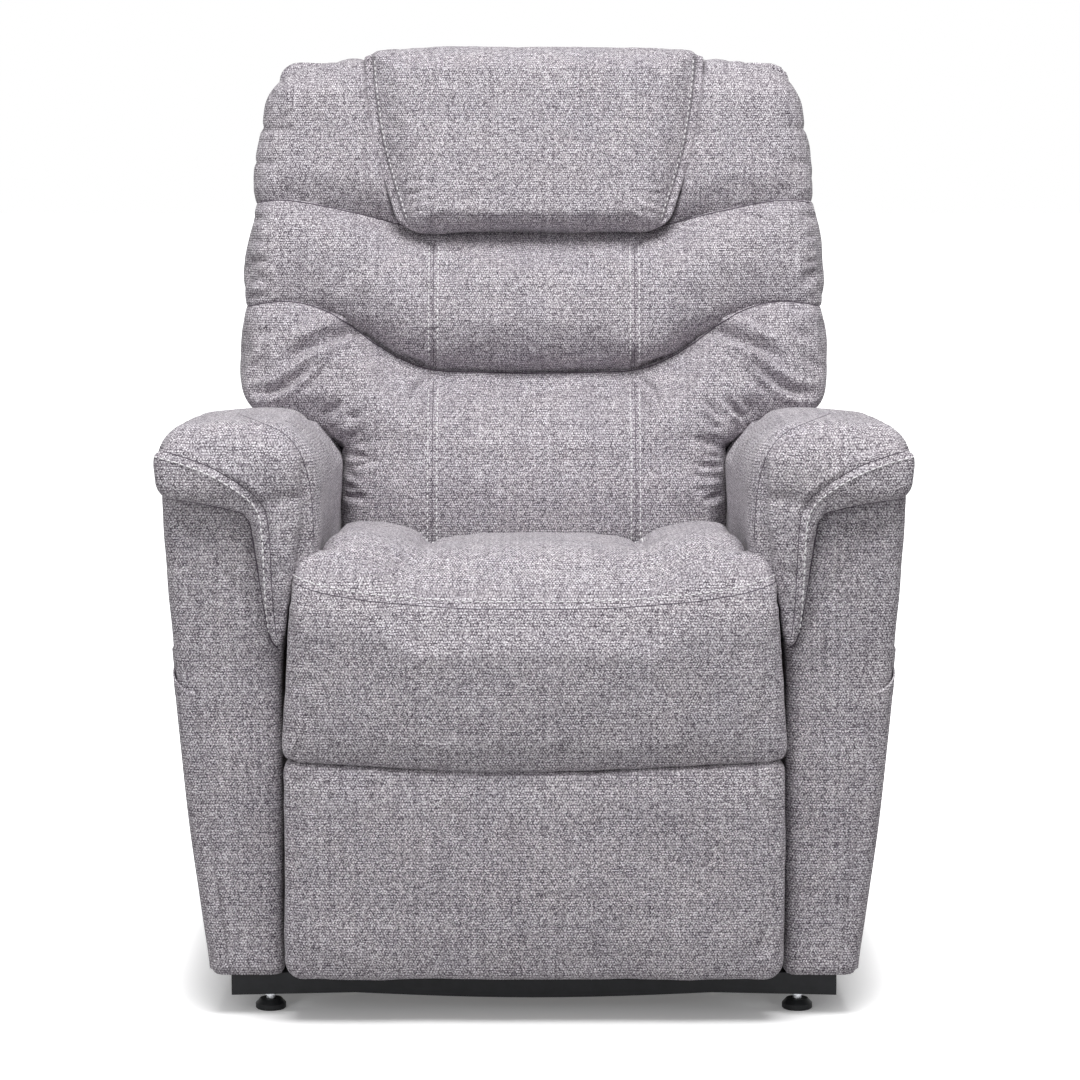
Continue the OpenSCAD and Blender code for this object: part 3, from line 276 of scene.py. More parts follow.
def puff(piece, sewn, cap, pressure=3.0, spare=0.015):
    """Swells a piece and subdivides it once."""
    swell(piece, sewn, cap, pressure, spare)
    finer(piece)


# ---- Pushes: how far each vertex moves along its normal, in mm ----


def shape(piece, *pushes):
    """Moves each vertex along its normal by push(x, y, z, normals), for each push in turn."""
    for push in pushes:
        points, normals = places(piece)
        place(piece, points + normals * push(*points.T, normals)[:, None])


def creases(lines, width, depth, lip=0.35, flat=(0, 2)):
    """Valleys along flat lines, each fading at its ends, with a soft lip on both sides.

    Each line is (points, width share, depth share), and flat says which two coordinates its points are."""

    def push(x, y, z, normals):
        a, b = ((x, y, z)[axis] for axis in flat)
        total = np.zeros(len(a))
        for points, wide, deep in lines:
            nearest, along = np.full(len(a), 1e9), np.zeros(len(a))
            spans = [math.dist(p, q) for p, q in zip(points, points[1:])]
            done = 0
            for (pa, pb), (qa, qb), span in zip(points, points[1:], spans):
                t = np.clip(((a - pa) * (qa - pa) + (b - pb) * (qb - pb)) / (span * span), 0, 1)
                d = np.hypot(a - pa - t * (qa - pa), b - pb - t * (qb - pb))
                closer = d < nearest
                nearest = np.where(closer, d, nearest)
                along = np.where(closer, (done + t * span) / sum(spans), along)
                done += span
            fade = np.sin(math.pi * np.clip(along * 0.94 + 0.03, 0, 1)) ** 0.7
            w = width * wide
            total -= depth * deep * fade * (bump(nearest, w) - lip * bump(nearest - 2 * w, w))
        return total

    return push


def waves(*each):
    """Slow unevenness, each wave of it (height, length, seed)."""
    return lambda x, y, z, n: sum(height * ripples(x, y, z, length, seed) for height, length, seed in each)


def ahead_of(limit, push):
    """A push that is limited to the skin in front of a place."""
    return lambda x, y, z, n: push(x, y, z, n) * (y < limit)


def facing_front(push):
    """A push that is limited to the skin that faces forwards."""
    return lambda x, y, z, n: push(x, y, z, n) * ease(-n[:, 1] * 2.2)


# ---- Paths, threads and seams ----


def smooth_line(points, gap=6):
    """A Catmull-Rom curve through points."""
    p = np.array(points, float)
    p = np.vstack([2 * p[0] - p[1], p, 2 * p[-1] - p[-2]])
    out = []
    for a, b, c, d in zip(p, p[1:], p[2:], p[3:]):
        squared, cubed = 2 * a - 5 * b + 4 * c - d, 3 * b - a - 3 * c + d
        for t in np.arange(0, 1, gap / max(np.linalg.norm(c - b), gap)):
            out.append(0.5 * (2 * b + (c - a) * t + squared * t * t + cubed * t ** 3))
    return np.array(out + [p[-2]])


def upright(points, y=-300):
    """Flat (x, z) points, stood up at a place y."""
    return [(x, y, z) for x, z in points]


def laid(piece, path, toward=(0, 1, 0), gap=1.5):
    """A path laid on the piece's skin, looking along toward: its points, and the skin's normals there."""
    points, _ = places(piece)
    tree = BVHTree.FromPolygons(points.tolist(), [list(p.vertices) for p in piece.data.polygons])
    path = np.array(path, float)
    spans = np.linalg.norm(np.diff(path, axis=0), axis=1)
    total = np.concatenate([[0], np.cumsum(spans)])
    steps = np.arange(0, total[-1], gap)
    dense = np.stack([np.interp(steps, total, path[:, k]) for k in range(3)], 1)
    toward = Vector(toward).normalized()
    hits = [tree.ray_cast(Vector(p) - toward * 400, toward) for p in dense]
    found = [(h[0], h[1] if h[1].dot(toward) < 0 else -h[1]) for h in hits if h[0] is not None]
    return np.array([h[0] for h in found]), np.array([h[1] for h in found])


def tube(points, normals, radius, lift, sides=6):
    """Vertices and faces of a thin closed tube along points, its middle lifted off them by lift."""
    heading = np.gradient(points, axis=0)
    heading /= np.maximum(np.linalg.norm(heading, axis=1), 1e-9)[:, None]
    side = np.cross(heading, normals)
    up = np.cross(side, heading)
    middle = points + normals * np.asarray(lift)[..., None]
    angles = [2 * math.pi * k / sides for k in range(sides)]
    rings = np.stack([middle + radius * (math.cos(a) * side + math.sin(a) * up) for a in angles], 1)
    last = (len(points) - 1) * sides
    faces = [(r + k, r + sides + k, r + sides + (k + 1) % sides, r + (k + 1) % sides)
             for r in range(0, last, sides) for k in range(sides)]
    faces += [tuple(range(sides)), tuple(range(last, last + sides))[::-1]]
    return rings.reshape(-1, 3), faces


def gathered(name, tubes):
    """One piece of several tubes."""
    points, faces, start = [], [], 0
    for p, f in tubes:
        points.append(p)
        faces += [tuple(i + start for i in face) for face in f]
        start += len(p)
    return piece_of(name, np.concatenate(points), faces)


STITCH, STITCH_GAP, THREAD = 5.4, 2.4, 0.85


def stitches(name, paths):
    """Rows of stitches along laid() paths, each a short thread that dips into the cloth at its ends."""
    tubes = []
    for points, normals in paths:
        length = np.concatenate([[0], np.cumsum(np.linalg.norm(np.diff(points, axis=0), axis=1))])
        for start in np.arange(1, length[-1] - STITCH, STITCH + STITCH_GAP):
            at = start + STITCH * np.array([0, 0.2, 0.5, 0.8, 1])
            spot = np.stack([np.interp(at, length, points[:, k]) for k in range(3)], 1)
            out = np.stack([np.interp(at, length, normals[:, k]) for k in range(3)], 1)
            tubes.append(tube(spot, out, THREAD, np.array([-0.9, 0.5, 0.8, 0.5, -0.9]), sides=5))
    return gathered(name, tubes)


def seam(name, paths, radius=0.7, lift=-0.25):
    """A dark tube along the line where two panels of cloth are sewn together: painted shade of the seam's
    crease.
    """
    return gathered(name, [tube(p, n, radius, lift) for p, n in paths])


# ---- Materials ----


def node_tree(name):
    material = bpy.data.materials.new(name)
    material.use_nodes = True
    return material, material.node_tree


def set_inputs(node, values):
    for socket, value in values.items():
        node.inputs[socket].default_value = value


def new_node(tree, kind, links, values=None):
    """A shader node with its sockets linked or set, by name or number."""
    node = tree.nodes.new("ShaderNode" + kind)
    for socket, source in links.items():
        tree.links.new(source, node.inputs[socket])
    set_inputs(node, values or {})
    return node


def math_node(tree, operation, a, b=None, clamp=False):
    node = tree.nodes.new("ShaderNodeMath")
    node.operation = operation
    node.use_clamp = clamp
    for socket, value in zip(node.inputs, (a, b)):
        if value is None:
            continue
        if isinstance(value, (int, float)):
            socket.default_value = value
        else:
            tree.links.new(value, socket)
    return node.outputs[0]


def weighted(tree, *terms):
    """The sum of each value times its share."""
    total = None
    for value, share in terms:
        part = math_node(tree, "MULTIPLY", value, share)
        total = part if total is None else math_node(tree, "ADD", total, part)
    return total


def split(tree, vector):
    """A vector's x, y and z."""
    return new_node(tree, "SeparateXYZ", {0: vector}).outputs


def piece_space(tree):
    """Where a point is in the piece's own space."""
    return tree.nodes.new("ShaderNodeTexCoord").outputs["Object"]


def noise_node(tree, vector, scale, detail, roughness):
    values = {"Scale": scale, "Detail": detail, "Roughness": roughness}
    return new_node(tree, "TexNoise", {"Vector": vector}, values).outputs["Fac"]


def ramp_node(tree, value, stops):
    node = new_node(tree, "ValToRGB", {"Fac": value})
    ramp = node.color_ramp
    while len(ramp.elements) < len(stops):
        ramp.elements.new(0.5)
    for element, (position, colour) in zip(ramp.elements, stops):
        element.position = position
        element.color = (*colour, 1)
    return node.outputs["Color"]


def shader_of(tree):
    return tree.nodes["Principled BSDF"]


def mix_colour(tree, fac, a, b, blend="MIX"):
    node = tree.nodes.new("ShaderNodeMix")
    node.data_type = "RGBA"
    node.blend_type = blend
    for socket, value in ((node.inputs[0], fac), (node.inputs[6], a), (node.inputs[7], b)):
        if isinstance(value, (int, float)):
            socket.default_value = value
        elif isinstance(value, tuple):
            socket.default_value = (*value, 1)
        else:
            tree.links.new(value, socket)
    return node.outputs[2]


def dress(material, colour, relief, strength, distance, values):
    """Gives a material its colour, its relief and the values that are the same all over."""
    tree = material.node_tree
    shader = shader_of(tree)
    tree.links.new(colour, shader.inputs["Base Color"])
    set_inputs(shader, values)
    node = new_node(tree, "Bump", {"Height": relief}, {"Strength": strength, "Distance": distance})
    tree.links.new(node.outputs["Normal"], shader.inputs["Normal"])
    return material


def srgb(r, g, b):
    """A colour given as it shows on screen, from 0 to 255."""
    return tuple(((c / 255 + 0.055) / 1.055) ** 2.4 if c > 10 else c / 255 / 12.92 for c in (r, g, b))


# Widths of a yarn along and across its row, and of the coarser rib, in metres
YARN_WIDE, YARN_HIGH = 0.0014, 0.0011
RIB = 0.003


def weave_group():
    """A weave on a flat (x, y) in metres: a random tone for each crossing of yarns, and the rib's height."""
    group = bpy.data.node_groups.new("weave", "ShaderNodeTree")
    for name, way, kind in (("Vector", "INPUT", "Vector"), ("Tone", "OUTPUT", "Float"),
                            ("Height", "OUTPUT", "Float")):
        group.interface.new_socket(name, in_out=way, socket_type="NodeSocket" + kind)
    source, sink = group.nodes.new("NodeGroupInput"), group.nodes.new("NodeGroupOutput")
    across, up, _ = split(group, source.outputs[0])

    def calc(operation, a, b=None):
        return math_node(group, operation, a, b)

    def chance(numbers):
        """A random number for each whole-numbered place."""
        cell = new_node(group, "CombineXYZ", numbers)
        noise = new_node(group, "TexWhiteNoise", {"Vector": cell.outputs[0]})
        noise.noise_dimensions = "2D"
        return noise.outputs["Value"]

    def hump(value):
        """0 at each whole number and 1 halfway between them."""
        part = calc("FRACT", value)
        return calc("MULTIPLY", calc("MULTIPLY", part, calc("SUBTRACT", 1.0, part)), 4.0)

    row = calc("FLOOR", calc("DIVIDE", up, YARN_HIGH))
    along = calc("DIVIDE", across, YARN_WIDE)
    strand = calc("FLOOR", along)
    column = calc("FLOOR", calc("ADD", along, calc("MULTIPLY", row, 0.5)))
    threads = calc("ADD", chance({0: strand}), chance({1: row}))
    tone = weighted(group, (chance({0: column, 1: row}), 0.8), (threads, 0.1))
    rib = calc("DIVIDE", up, RIB)
    shift = calc("MULTIPLY", calc("FLOOR", rib), 0.5)
    along_rib = calc("ADD", calc("DIVIDE", across, RIB), shift)
    group.links.new(tone, sink.inputs[0])
    group.links.new(calc("MULTIPLY", hump(along_rib), hump(rib)), sink.inputs[1])
    return group


def triplanar(tree, group):
    """The weave on whichever of three planes the surface faces, in the piece's own space."""
    where = tree.nodes.new("ShaderNodeTexCoord")
    x, y, z = split(tree, where.outputs["Object"])
    facing = split(tree, where.outputs["Normal"])
    shares = [math_node(tree, "POWER", math_node(tree, "ABSOLUTE", f), 8.0) for f in facing]
    whole = math_node(tree, "ADD", math_node(tree, "ADD", shares[0], shares[1]), shares[2])
    tones, heights = [], []
    for share, (a, b) in zip(shares, ((y, z), (x, z), (x, y))):
        flat = new_node(tree, "CombineXYZ", {0: a, 1: b})
        weave = tree.nodes.new("ShaderNodeGroup")
        weave.node_tree = group
        tree.links.new(flat.outputs[0], weave.inputs[0])
        part = math_node(tree, "DIVIDE", share, whole)
        tones.append((weave.outputs[0], part))
        heights.append((weave.outputs[1], part))
    return where.outputs["Object"], weighted(tree, *tones), weighted(tree, *heights)


def fabric(name, dark, middle, light):
    """Heathered upholstery cloth: a tone for each yarn crossing, slubs, and slow drifts of colour."""
    material, tree = node_tree(name)
    where, tone, height = triplanar(tree, weave_group())
    slub = noise_node(tree, where, 520.0, 1.0, 0.6)
    fuzz = noise_node(tree, where, 1100.0, 1.0, 0.6)
    # The rib's height is added to the tone too, so rib crests are lighter and the grooves between ribs
    # darker: painted shade of the weave's relief.
    mixed = weighted(tree, (tone, 0.72), (slub, 0.2), (height, 0.34))
    value = math_node(tree, "SUBTRACT", mixed, 0.222, clamp=True)
    colour = ramp_node(tree, value, [(0.02, dark), (0.40, middle), (0.80, light)])
    drift = ramp_node(tree, noise_node(tree, where, 22.0, 3.0, 0.55),
                      [(0.35, (0.87, 0.86, 0.90)), (0.65, (1.0, 0.975, 0.985))])
    colour = mix_colour(tree, 0.5, colour, drift, "MULTIPLY")
    relief = math_node(tree, "ADD", height, math_node(tree, "MULTIPLY", fuzz, 0.8))
    return dress(material, colour, relief, 0.55, 0.0006,
                 {"Roughness": 0.92, "Specular IOR Level": 0.2, "Sheen Weight": 0.12, "Sheen Roughness": 0.5})


def plain(name, colour, rough, scale, amount, bump_mm, metal=0.0, gloss=0.5):
    """A painted, plated or moulded finish with fine unevenness and slow wear.

    scale is that of its fine grain, and amount says how much its colour varies."""
    material, tree = node_tree(name)
    where = piece_space(tree)
    fine = noise_node(tree, where, scale, 3.0, 0.6)
    slow = noise_node(tree, where, 35.0, 4.0, 0.6)
    lower = tuple(c * (1 - amount) for c in colour)
    upper = tuple(min(1, c * (1 + amount) + amount * 0.01) for c in colour)
    roughness = math_node(tree, "ADD", math_node(tree, "MULTIPLY", fine, 0.16), rough - 0.08)
    tree.links.new(roughness, shader_of(tree).inputs["Roughness"])
    return dress(material, ramp_node(tree, slow, [(0.3, lower), (0.7, upper)]), fine, 0.4, bump_mm * MM,
                 {"Metallic": metal, "Specular IOR Level": gloss})


def timber(name):
    """Planed softwood and plywood, with the grain along X."""
    material, tree = node_tree(name)
    stretch = new_node(tree, "Mapping", {"Vector": piece_space(tree)}, {"Scale": (3.0, 60.0, 60.0)})
    grain = noise_node(tree, stretch.outputs[0], 1.6, 6.0, 0.65)
    rings = noise_node(tree, stretch.outputs[0], 0.35, 2.0, 0.5)
    stops = [(0.3, srgb(164, 124, 78)), (0.5, srgb(205, 170, 120)), (0.7, srgb(226, 198, 152))]
    colour = ramp_node(tree, weighted(tree, (grain, 0.6), (rings, 0.4)), stops)
    return dress(material, colour, grain, 0.3, 0.0004, {"Roughness": 0.7})


def cloth_backing(name, colour):
    """Plain thin cloth, for the dust covers, the foam's cover and the webbing."""
    material, tree = node_tree(name)
    fine = noise_node(tree, piece_space(tree), 700.0, 2.0, 0.7)
    stops = [(0.3, tuple(c * 0.6 for c in colour)), (0.7, tuple(c * 1.5 for c in colour))]
    return dress(material, ramp_node(tree, fine, stops), fine, 0.5, 0.0003, {"Roughness": 0.95})


UPHOLSTERY = fabric("upholstery_cloth", srgb(62, 54, 64), srgb(166, 160, 166), srgb(255, 252, 255))
THREAD_LIGHT = plain("stitch_thread", srgb(240, 238, 240), 0.7, 2500.0, 0.04, 0.1)
# Dark tubes laid along seams: painted shade of the creases where the cloth is sewn, not the colour of a
# thread.
SEAM_SHADE = plain("seam_shadow", srgb(88, 80, 90), 0.9, 2500.0, 0.2, 0.1)
BLACK_STEEL = plain("black_painted_steel", srgb(24, 25, 28), 0.42, 900.0, 0.3, 0.04, gloss=0.2)
GREY_STEEL = plain("grey_painted_steel", srgb(70, 72, 76), 0.45, 700.0, 0.2, 0.04, metal=0.3)
ZINC = plain("zinc_plated_steel", srgb(196, 198, 202), 0.32, 500.0, 0.12, 0.03, metal=1.0)
ROD = plain("ground_steel_rod", srgb(214, 216, 220), 0.2, 1500.0, 0.06, 0.01, metal=1.0)
BLACK_PLASTIC = plain("black_moulded_plastic", srgb(28, 29, 31), 0.55, 1400.0, 0.15, 0.06, gloss=0.3)
BUTTON = plain("button_rubber", srgb(158, 162, 168), 0.6, 1200.0, 0.08, 0.05)
WOOD = timber("planed_wood")
BACKING = cloth_backing("black_backing_cloth", srgb(28, 27, 29))
WEBBING = cloth_backing("grey_elastic_webbing", srgb(96, 94, 92))


def finish(piece, material, body=None, replaced=()):
    """Gives a piece its material, hides the CAD parts it replaces, and rides it on a body."""
    piece.data.materials.clear()
    piece.data.materials.append(material)
    if replaced:
        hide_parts(*replaced)
    if body:
        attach(piece, body)
    return piece


def mirrored(name, piece):
    """A copy of a piece on the other side of the chair."""
    points, _ = places(piece)
    faces = [list(p.vertices)[::-1] for p in piece.data.polygons]
    return piece_of(name, points * [-1, 1, 1], faces)


def tuck(rng, side, near, far, inwards, upwards, wide, deep):
    """A short crease line from near to far, on either side of the chair.

    inwards and upwards say how much is drawn to move its far end, deep is the range of its depth share."""
    end = (side * (far[0] - rng.uniform(*inwards)), far[1] + (rng.uniform(*upwards) if upwards else 0))
    return [(side * near[0], near[1]), end], wide, rng.uniform(*deep)


# ---- Seat and footrest ----

SEAT_HALF = 239
CHANNEL_ROWS = (-6, 6)
PAD_REAR = UPPER_PAD[1][1] - 0.5
SEAT_UNDER = UPPER_PAD[1][2] + 1
CREASE_Z = 290
SEAT_SEAM = [(0, 471), (84, 472), (160, 478), (231, 489), (272, 501)]


def seat_top(x, y):
    """Three lobes that rise to the crest and roll over the front edge."""
    across = np.abs(x)
    lobes = track([(0, 525), (60, 524.5), (95, 521), (112, 516.5), (121, 513), (130, 518), (150, 530),
                   (180, 537), (205, 538), (236, 535), (280, 530)], across)
    front = 526 + 20 * ease((across - 122) / 66)
    depth = ease((y + 345) / 60)
    top = front * (1 - depth) + lobes * depth
    top = top - 0.00125 * np.maximum(0, -285 - y) ** 2
    return top - 26 * ease((y + 240) / 300)


def pad_crease(x):
    """Height of the crease between the footrest's two pads."""
    return CREASE_Z - 3 + 13 * (x / 283) ** 2


def belly(x, z, depth, low, tall):
    """How far a pad's face swells forward between its edges."""
    across = np.cos(np.clip(x / 300, -1, 1) * math.pi / 2)
    return depth * across * np.sin(math.pi * np.clip((z - low) / tall, 0, 1))


def chaise(x, y, z):
    pad_half = track([(280, 283), (325, 283), (477, 271), (560, 268)], z)
    half = SEAT_HALF + (pad_half - SEAT_HALF) * ease((-362 - y) / 38)
    core = np.minimum(y - PAD_REAR, SEAT_UNDER - z)
    outer = meet(56, z - seat_top(x, y), -445 - belly(x, z, 5, 285, 230) - y)
    outer = meet(14, outer, pad_crease(x) - z)
    outer = meet(16, outer, np.abs(x) - half)
    return meet(3, outer, core, y - SEAT[1][1] - 4)


def make_chaise():
    """The cover that runs from the seat over the front edge and down the upper footrest pad."""
    cover = skin("seat_and_footrest_cover", (-285, -452, 284), (285, 70, 545), chaise)

    def sewn(x, y, z):
        behind = (z < SEAT_UNDER + 8) & (y > PAD_REAR + 6)
        inner = (y > PAD_REAR - 6) & (z < SEAT_UNDER)
        sides = bump(np.abs(x) - 283, 10) * (y < -400)
        return np.where(behind | inner | (y > 40), 1, 0) + bump(z - CREASE_Z, 12) + sides

    puff(cover, sewn, 6)
    channels = [([(side * 121, -330), (side * 126, -200), (side * 128, 60)], 1, 1) for side in (-1, 1)]
    rng = np.random.default_rng(5)
    tucks = []
    for side in (-1, 1):
        for x, z in [(238 + 6.5 * k, 508 + 3 * k) for k in range(5)]:
            tucks.append(tuck(rng, side, (x, z), (x, 530), (2, 8), (0, 8), 1, (0.6, 1)))
        for x, z in [(277 - 5 * k, 318 + 9 * k) for k in range(3)]:
            tucks.append(tuck(rng, side, (x, 296), (x, z), (8, 18), None, 1.3, (0.5, 0.9)))
    shape(cover, creases(channels, 7, 5, 0.1, flat=(0, 1)), ahead_of(-330, creases(tucks, 2.6, 2.2)),
          waves((1.6, 150, 3), (0.5, 45, 4)))
    finish(cover, UPHOLSTERY, replaced=("seat_cushion", "footrest_upper_pad"))

    line = smooth_line(upright([(-x, z) for x, z in SEAT_SEAM[::-1]] + SEAT_SEAM[1:], -500))
    # The dark tube along the front seam is painted shade of the seam's crease; the light stitches beside it
    # are thread.
    front_seam_shade = finish(seam("seat_front_seam_shade", [laid(cover, line)]), SEAM_SHADE)
    row = finish(stitches("seat_front_stitches", [laid(cover, line + np.array([0, 0, 7.5]))]), THREAD_LIGHT)
    rows = [laid(cover, [(side * 127 + offset, -130, 700), (side * 128 + offset, 55, 700)], (0, 0, -1))
            for side in (-1, 1) for offset in CHANNEL_ROWS]
    finish(stitches("seat_channel_stitches", rows), THREAD_LIGHT, "chassis")
    for part in (cover, front_seam_shade, row):
        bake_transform(part)


def make_foam_core():
    """The foam under the seat's cover, which shows only from below."""
    front = cad("seat_frame")[0][1] + 31

    def field(x, y, z):
        return meet(14, np.abs(x) - 228, SEAT[0][2] - z, z - SEAT_UNDER - 1, front - y, y - 55)

    block = skin("seat_foam_core", (-228, front, SEAT[0][2]), (228, 60, SEAT_UNDER + 1), field, 9)
    finish(block, BACKING, "chassis")


def make_lower_pad():
    low, high = cad("footrest_lower_pad")

    def field(x, y, z):
        sides = meet(22, np.abs(x) - high[0], low[2] - z)
        body = meet(13, sides, low[1] - 2 - belly(x, z, 3, 50, 238) - y)
        return meet(12, body, z - pad_crease(x) - 1.5, y - high[1])

    def sewn(x, y, z):
        edges = [bump(z - low[2], 14), bump(z - pad_crease(x), 10), bump(np.abs(x) - 281, 12)]
        return sum(edges, np.where(y > high[1] - 12, 1, 0))

    pad = skin("footrest_lower_cushion", low - [0, 6, 0], high + [0, 0, 14], field)
    puff(pad, sewn, 4, pressure=2.0, spare=0.01)
    rng = np.random.default_rng(8)
    tucks = [tuck(rng, side, (276 - 6 * k, 296), (276 - 6 * k, 270 - 6 * k), (6, 16), None, 1.2, (0.4, 0.9))
             for side in (-1, 1) for k in range(4)]
    shape(pad, ahead_of(low[1] + 12, creases(tucks, 3, 2)), waves((1.3, 140, 13), (0.4, 40, 14)))
    finish(pad, UPHOLSTERY, "footrest", ("footrest_lower_pad",))


# ---- Arms, made on the sitter's left and mirrored ----

ARM_OUTER = [(50, 366), (137, 378), (201, 387), (236, 391), (300, 397), (366, 403), (406, 406), (465, 410),
             (517, 414), (565, 417), (600, 418)]
FLANGE = [(413, 596), (421, 608), (425, 630), (424, 643), (396, 648), (360, 638), (330, 622), (300, 604),
          (268, 590), (264, 544), (270, 504), (277, 462), (281, 436), (287, 424), (295, 436), (303, 480),
          (308, 512), (313, 545), (317, 567), (325, 577), (346, 583), (375, 589)]
FLANGE_SEAM = [(428, 652), (420, 648), (393, 641), (360, 629), (330, 612), (310, 596), (300, 581), (296, 563),
               (294, 535), (293, 505), (291, 466), (288, 438)]
ARM_TOP_SEAM = [(330, 692), (313, 684), (279, 668), (260, 645), (250, 613), (246, 575), (245, 548)]


def arm_inner(z):
    return 284 - np.maximum(0, z - 380) * 18 / 220


def arm_outer(z):
    return smooth_track(ARM_OUTER, z, 25)


def make_arm_panel():
    def field(x, y, z):
        walls = meet(ARM_CORNER, x - arm_outer(z), ARM_FRONT - y, y - ARM_REAR, arm_inner(z) - x)
        return meet(7, walls, ARM_LOW - 3 - z, z - ARM_TOP)

    def uneven(x, y, z, n):
        height = waves((1.1, 170, 21), (0.5, 60, 22))(x, y, z, n) - 0.4
        return height * ease((z - 60) / 30) * ease((590 - z) / 30)

    panel = skin("arm_panel_cover_left", *cad("arm_panel_left"), field, 6)
    # Cloth pulled over the front edge dents under the flange
    under = [([(x, z - 2) for x, z in FLANGE[:0:-1][:9]] + [(405, 594)], 1, 1)]
    pulls = [([(300, 470), (322, 560)], 3.2, 0.8), ([(345, 520), (372, 580)], 3.5, 0.6),
             ([(400, 330), (392, 420)], 3, 0.6)]
    shape(panel, uneven, ahead_of(ARM_FRONT + 6, creases(under, 6, 5, 0)),
          ahead_of(ARM_FRONT + 10, creases(pulls, 4.5, 2.2)))
    return panel


def make_arm_pad():
    low, high = cad("arm_pad_left")
    nose = low[1]

    def field(x, y, z):
        drop = smooth_track([(-425, 0), (-173, 0), (-33, 17), (107, 38), (246, 40)], y, 60)
        top = z - (high[2] - 1 - drop - 0.0011 * (x - 322) ** 2)
        outer = x - (high[0] + 1 - 0.007 * np.maximum(0, 632 - z) ** 2)
        inner = 240.5 + 2 * ease((560 - z) / 40) - x
        rolled = meet(58, top, nose - 1 - y)
        dome = meet(32, meet(50, rolled, inner), outer)
        dome = meet(9, dome, np.minimum(595 - z, np.maximum(x - arm_inner(z) + 0.6, 486 - z)))
        dome = meet(8, dome, y - high[1] + 1)
        ahead = y < ARM_FRONT - 0.6
        dome = np.maximum(dome, np.where(ahead, np.maximum(560 - z, 262 - x), -1e3))
        band = meet(8, outline(FLANGE, x, z), nose + 1.5 + 0.02 * np.abs(600 - z) - y)
        return join(7, dome, np.maximum(band, y - ARM_FRONT + 0.6))

    def sewn(x, y, z):
        under = np.where((z < 597) & (y > ARM_FRONT + 4), 1, 0)
        behind_flange = np.where(y > ARM_FRONT - 6, 1, 0) * (z < 597)
        return under + bump(z - 590, 14) * (x > 320) + behind_flange + bump(y - high[1], 12)

    pad = skin("arm_pad_cushion_left", low, high, field)
    puff(pad, sewn, 5)
    rng = np.random.default_rng(31)
    tucks = []
    for k in range(6):
        at = np.array([318 - 5.5 * k, 596 - 6.5 * k])
        far = at + [10 + rng.uniform(0, 5), 20 + rng.uniform(0, 8)]
        tucks.append(([tuple(at + [4, 6]), tuple(far)], 1, rng.uniform(0.5, 1)))
        far = at + [3, -15 - rng.uniform(0, 5)]
        tucks.append(([tuple(at + [-2, -4]), tuple(far)], 1, rng.uniform(0.6, 1)))
    shape(pad, ahead_of(nose + 45, creases([(FLANGE_SEAM, 1, 1)], 3.5, 2.6, 0.5)),
          ahead_of(nose + 40, creases(tucks, 2.4, 1.8)), waves((1.5, 130, 33), (0.5, 45, 34)))
    return pad


def arm_lines(pad):
    """Paths on the pad: the flange's seam, the row of stitches beside it, and the seam over the top."""
    dark = smooth_line(upright(FLANGE_SEAM, -700))
    heading = np.gradient(dark, axis=0)
    heading /= np.linalg.norm(heading, axis=1)[:, None]
    side = np.stack([-heading[:, 2], 0 * heading[:, 0], heading[:, 0]], 1)
    top = smooth_line(upright(ARM_TOP_SEAM, -425))
    return [laid(pad, dark)], [laid(pad, dark + 8 * side)], [laid(pad, top, (0.065, 0.99, -0.1))]


def two_layers(name, outer, inner):
    """A sheet of cloth from its two faces, each a grid of points, closed round its edge."""
    high, wide = outer.shape[0] - 1, outer.shape[1] - 1
    row, count = wide + 1, (wide + 1) * (high + 1)
    corner = (np.arange(high)[:, None] * row + np.arange(wide)[None, :]).ravel()
    quads = np.stack([corner, corner + 1, corner + 1 + row, corner + row], 1)
    ring = list(range(wide)) + [j * row + wide for j in range(high)]
    ring += [high * row + wide - i for i in range(wide)] + [(high - j) * row for j in range(high)]
    faces = quads.tolist() + (quads + count)[:, ::-1].tolist()
    faces += [[b, a, a + count, b + count] for a, b in zip(ring, ring[1:] + ring[:1])]
    return piece_of(name, np.concatenate([outer.reshape(-1, 3), inner.reshape(-1, 3)]), faces)


ARM_CORNER = 17
POCKET_REACH = 22
POCKET_OUT = 21


def pocket_point(s, z):
    """A place on the arm's skin at a distance s round its front outer corner, and which way is out there."""
    outer = arm_outer(z)
    flat = POCKET_REACH - ARM_CORNER
    arc = ARM_CORNER * math.pi / 2
    angle = np.clip((s - flat) / ARM_CORNER, 0, math.pi / 2)
    x = np.where(s < flat, outer - POCKET_REACH + s, outer - ARM_CORNER + ARM_CORNER * np.sin(angle))
    y = np.where(s < flat + arc, ARM_FRONT + ARM_CORNER - ARM_CORNER * np.cos(angle),
                 ARM_FRONT + ARM_CORNER + (s - flat - arc))
    return x, y, np.sin(angle), -np.cos(angle)


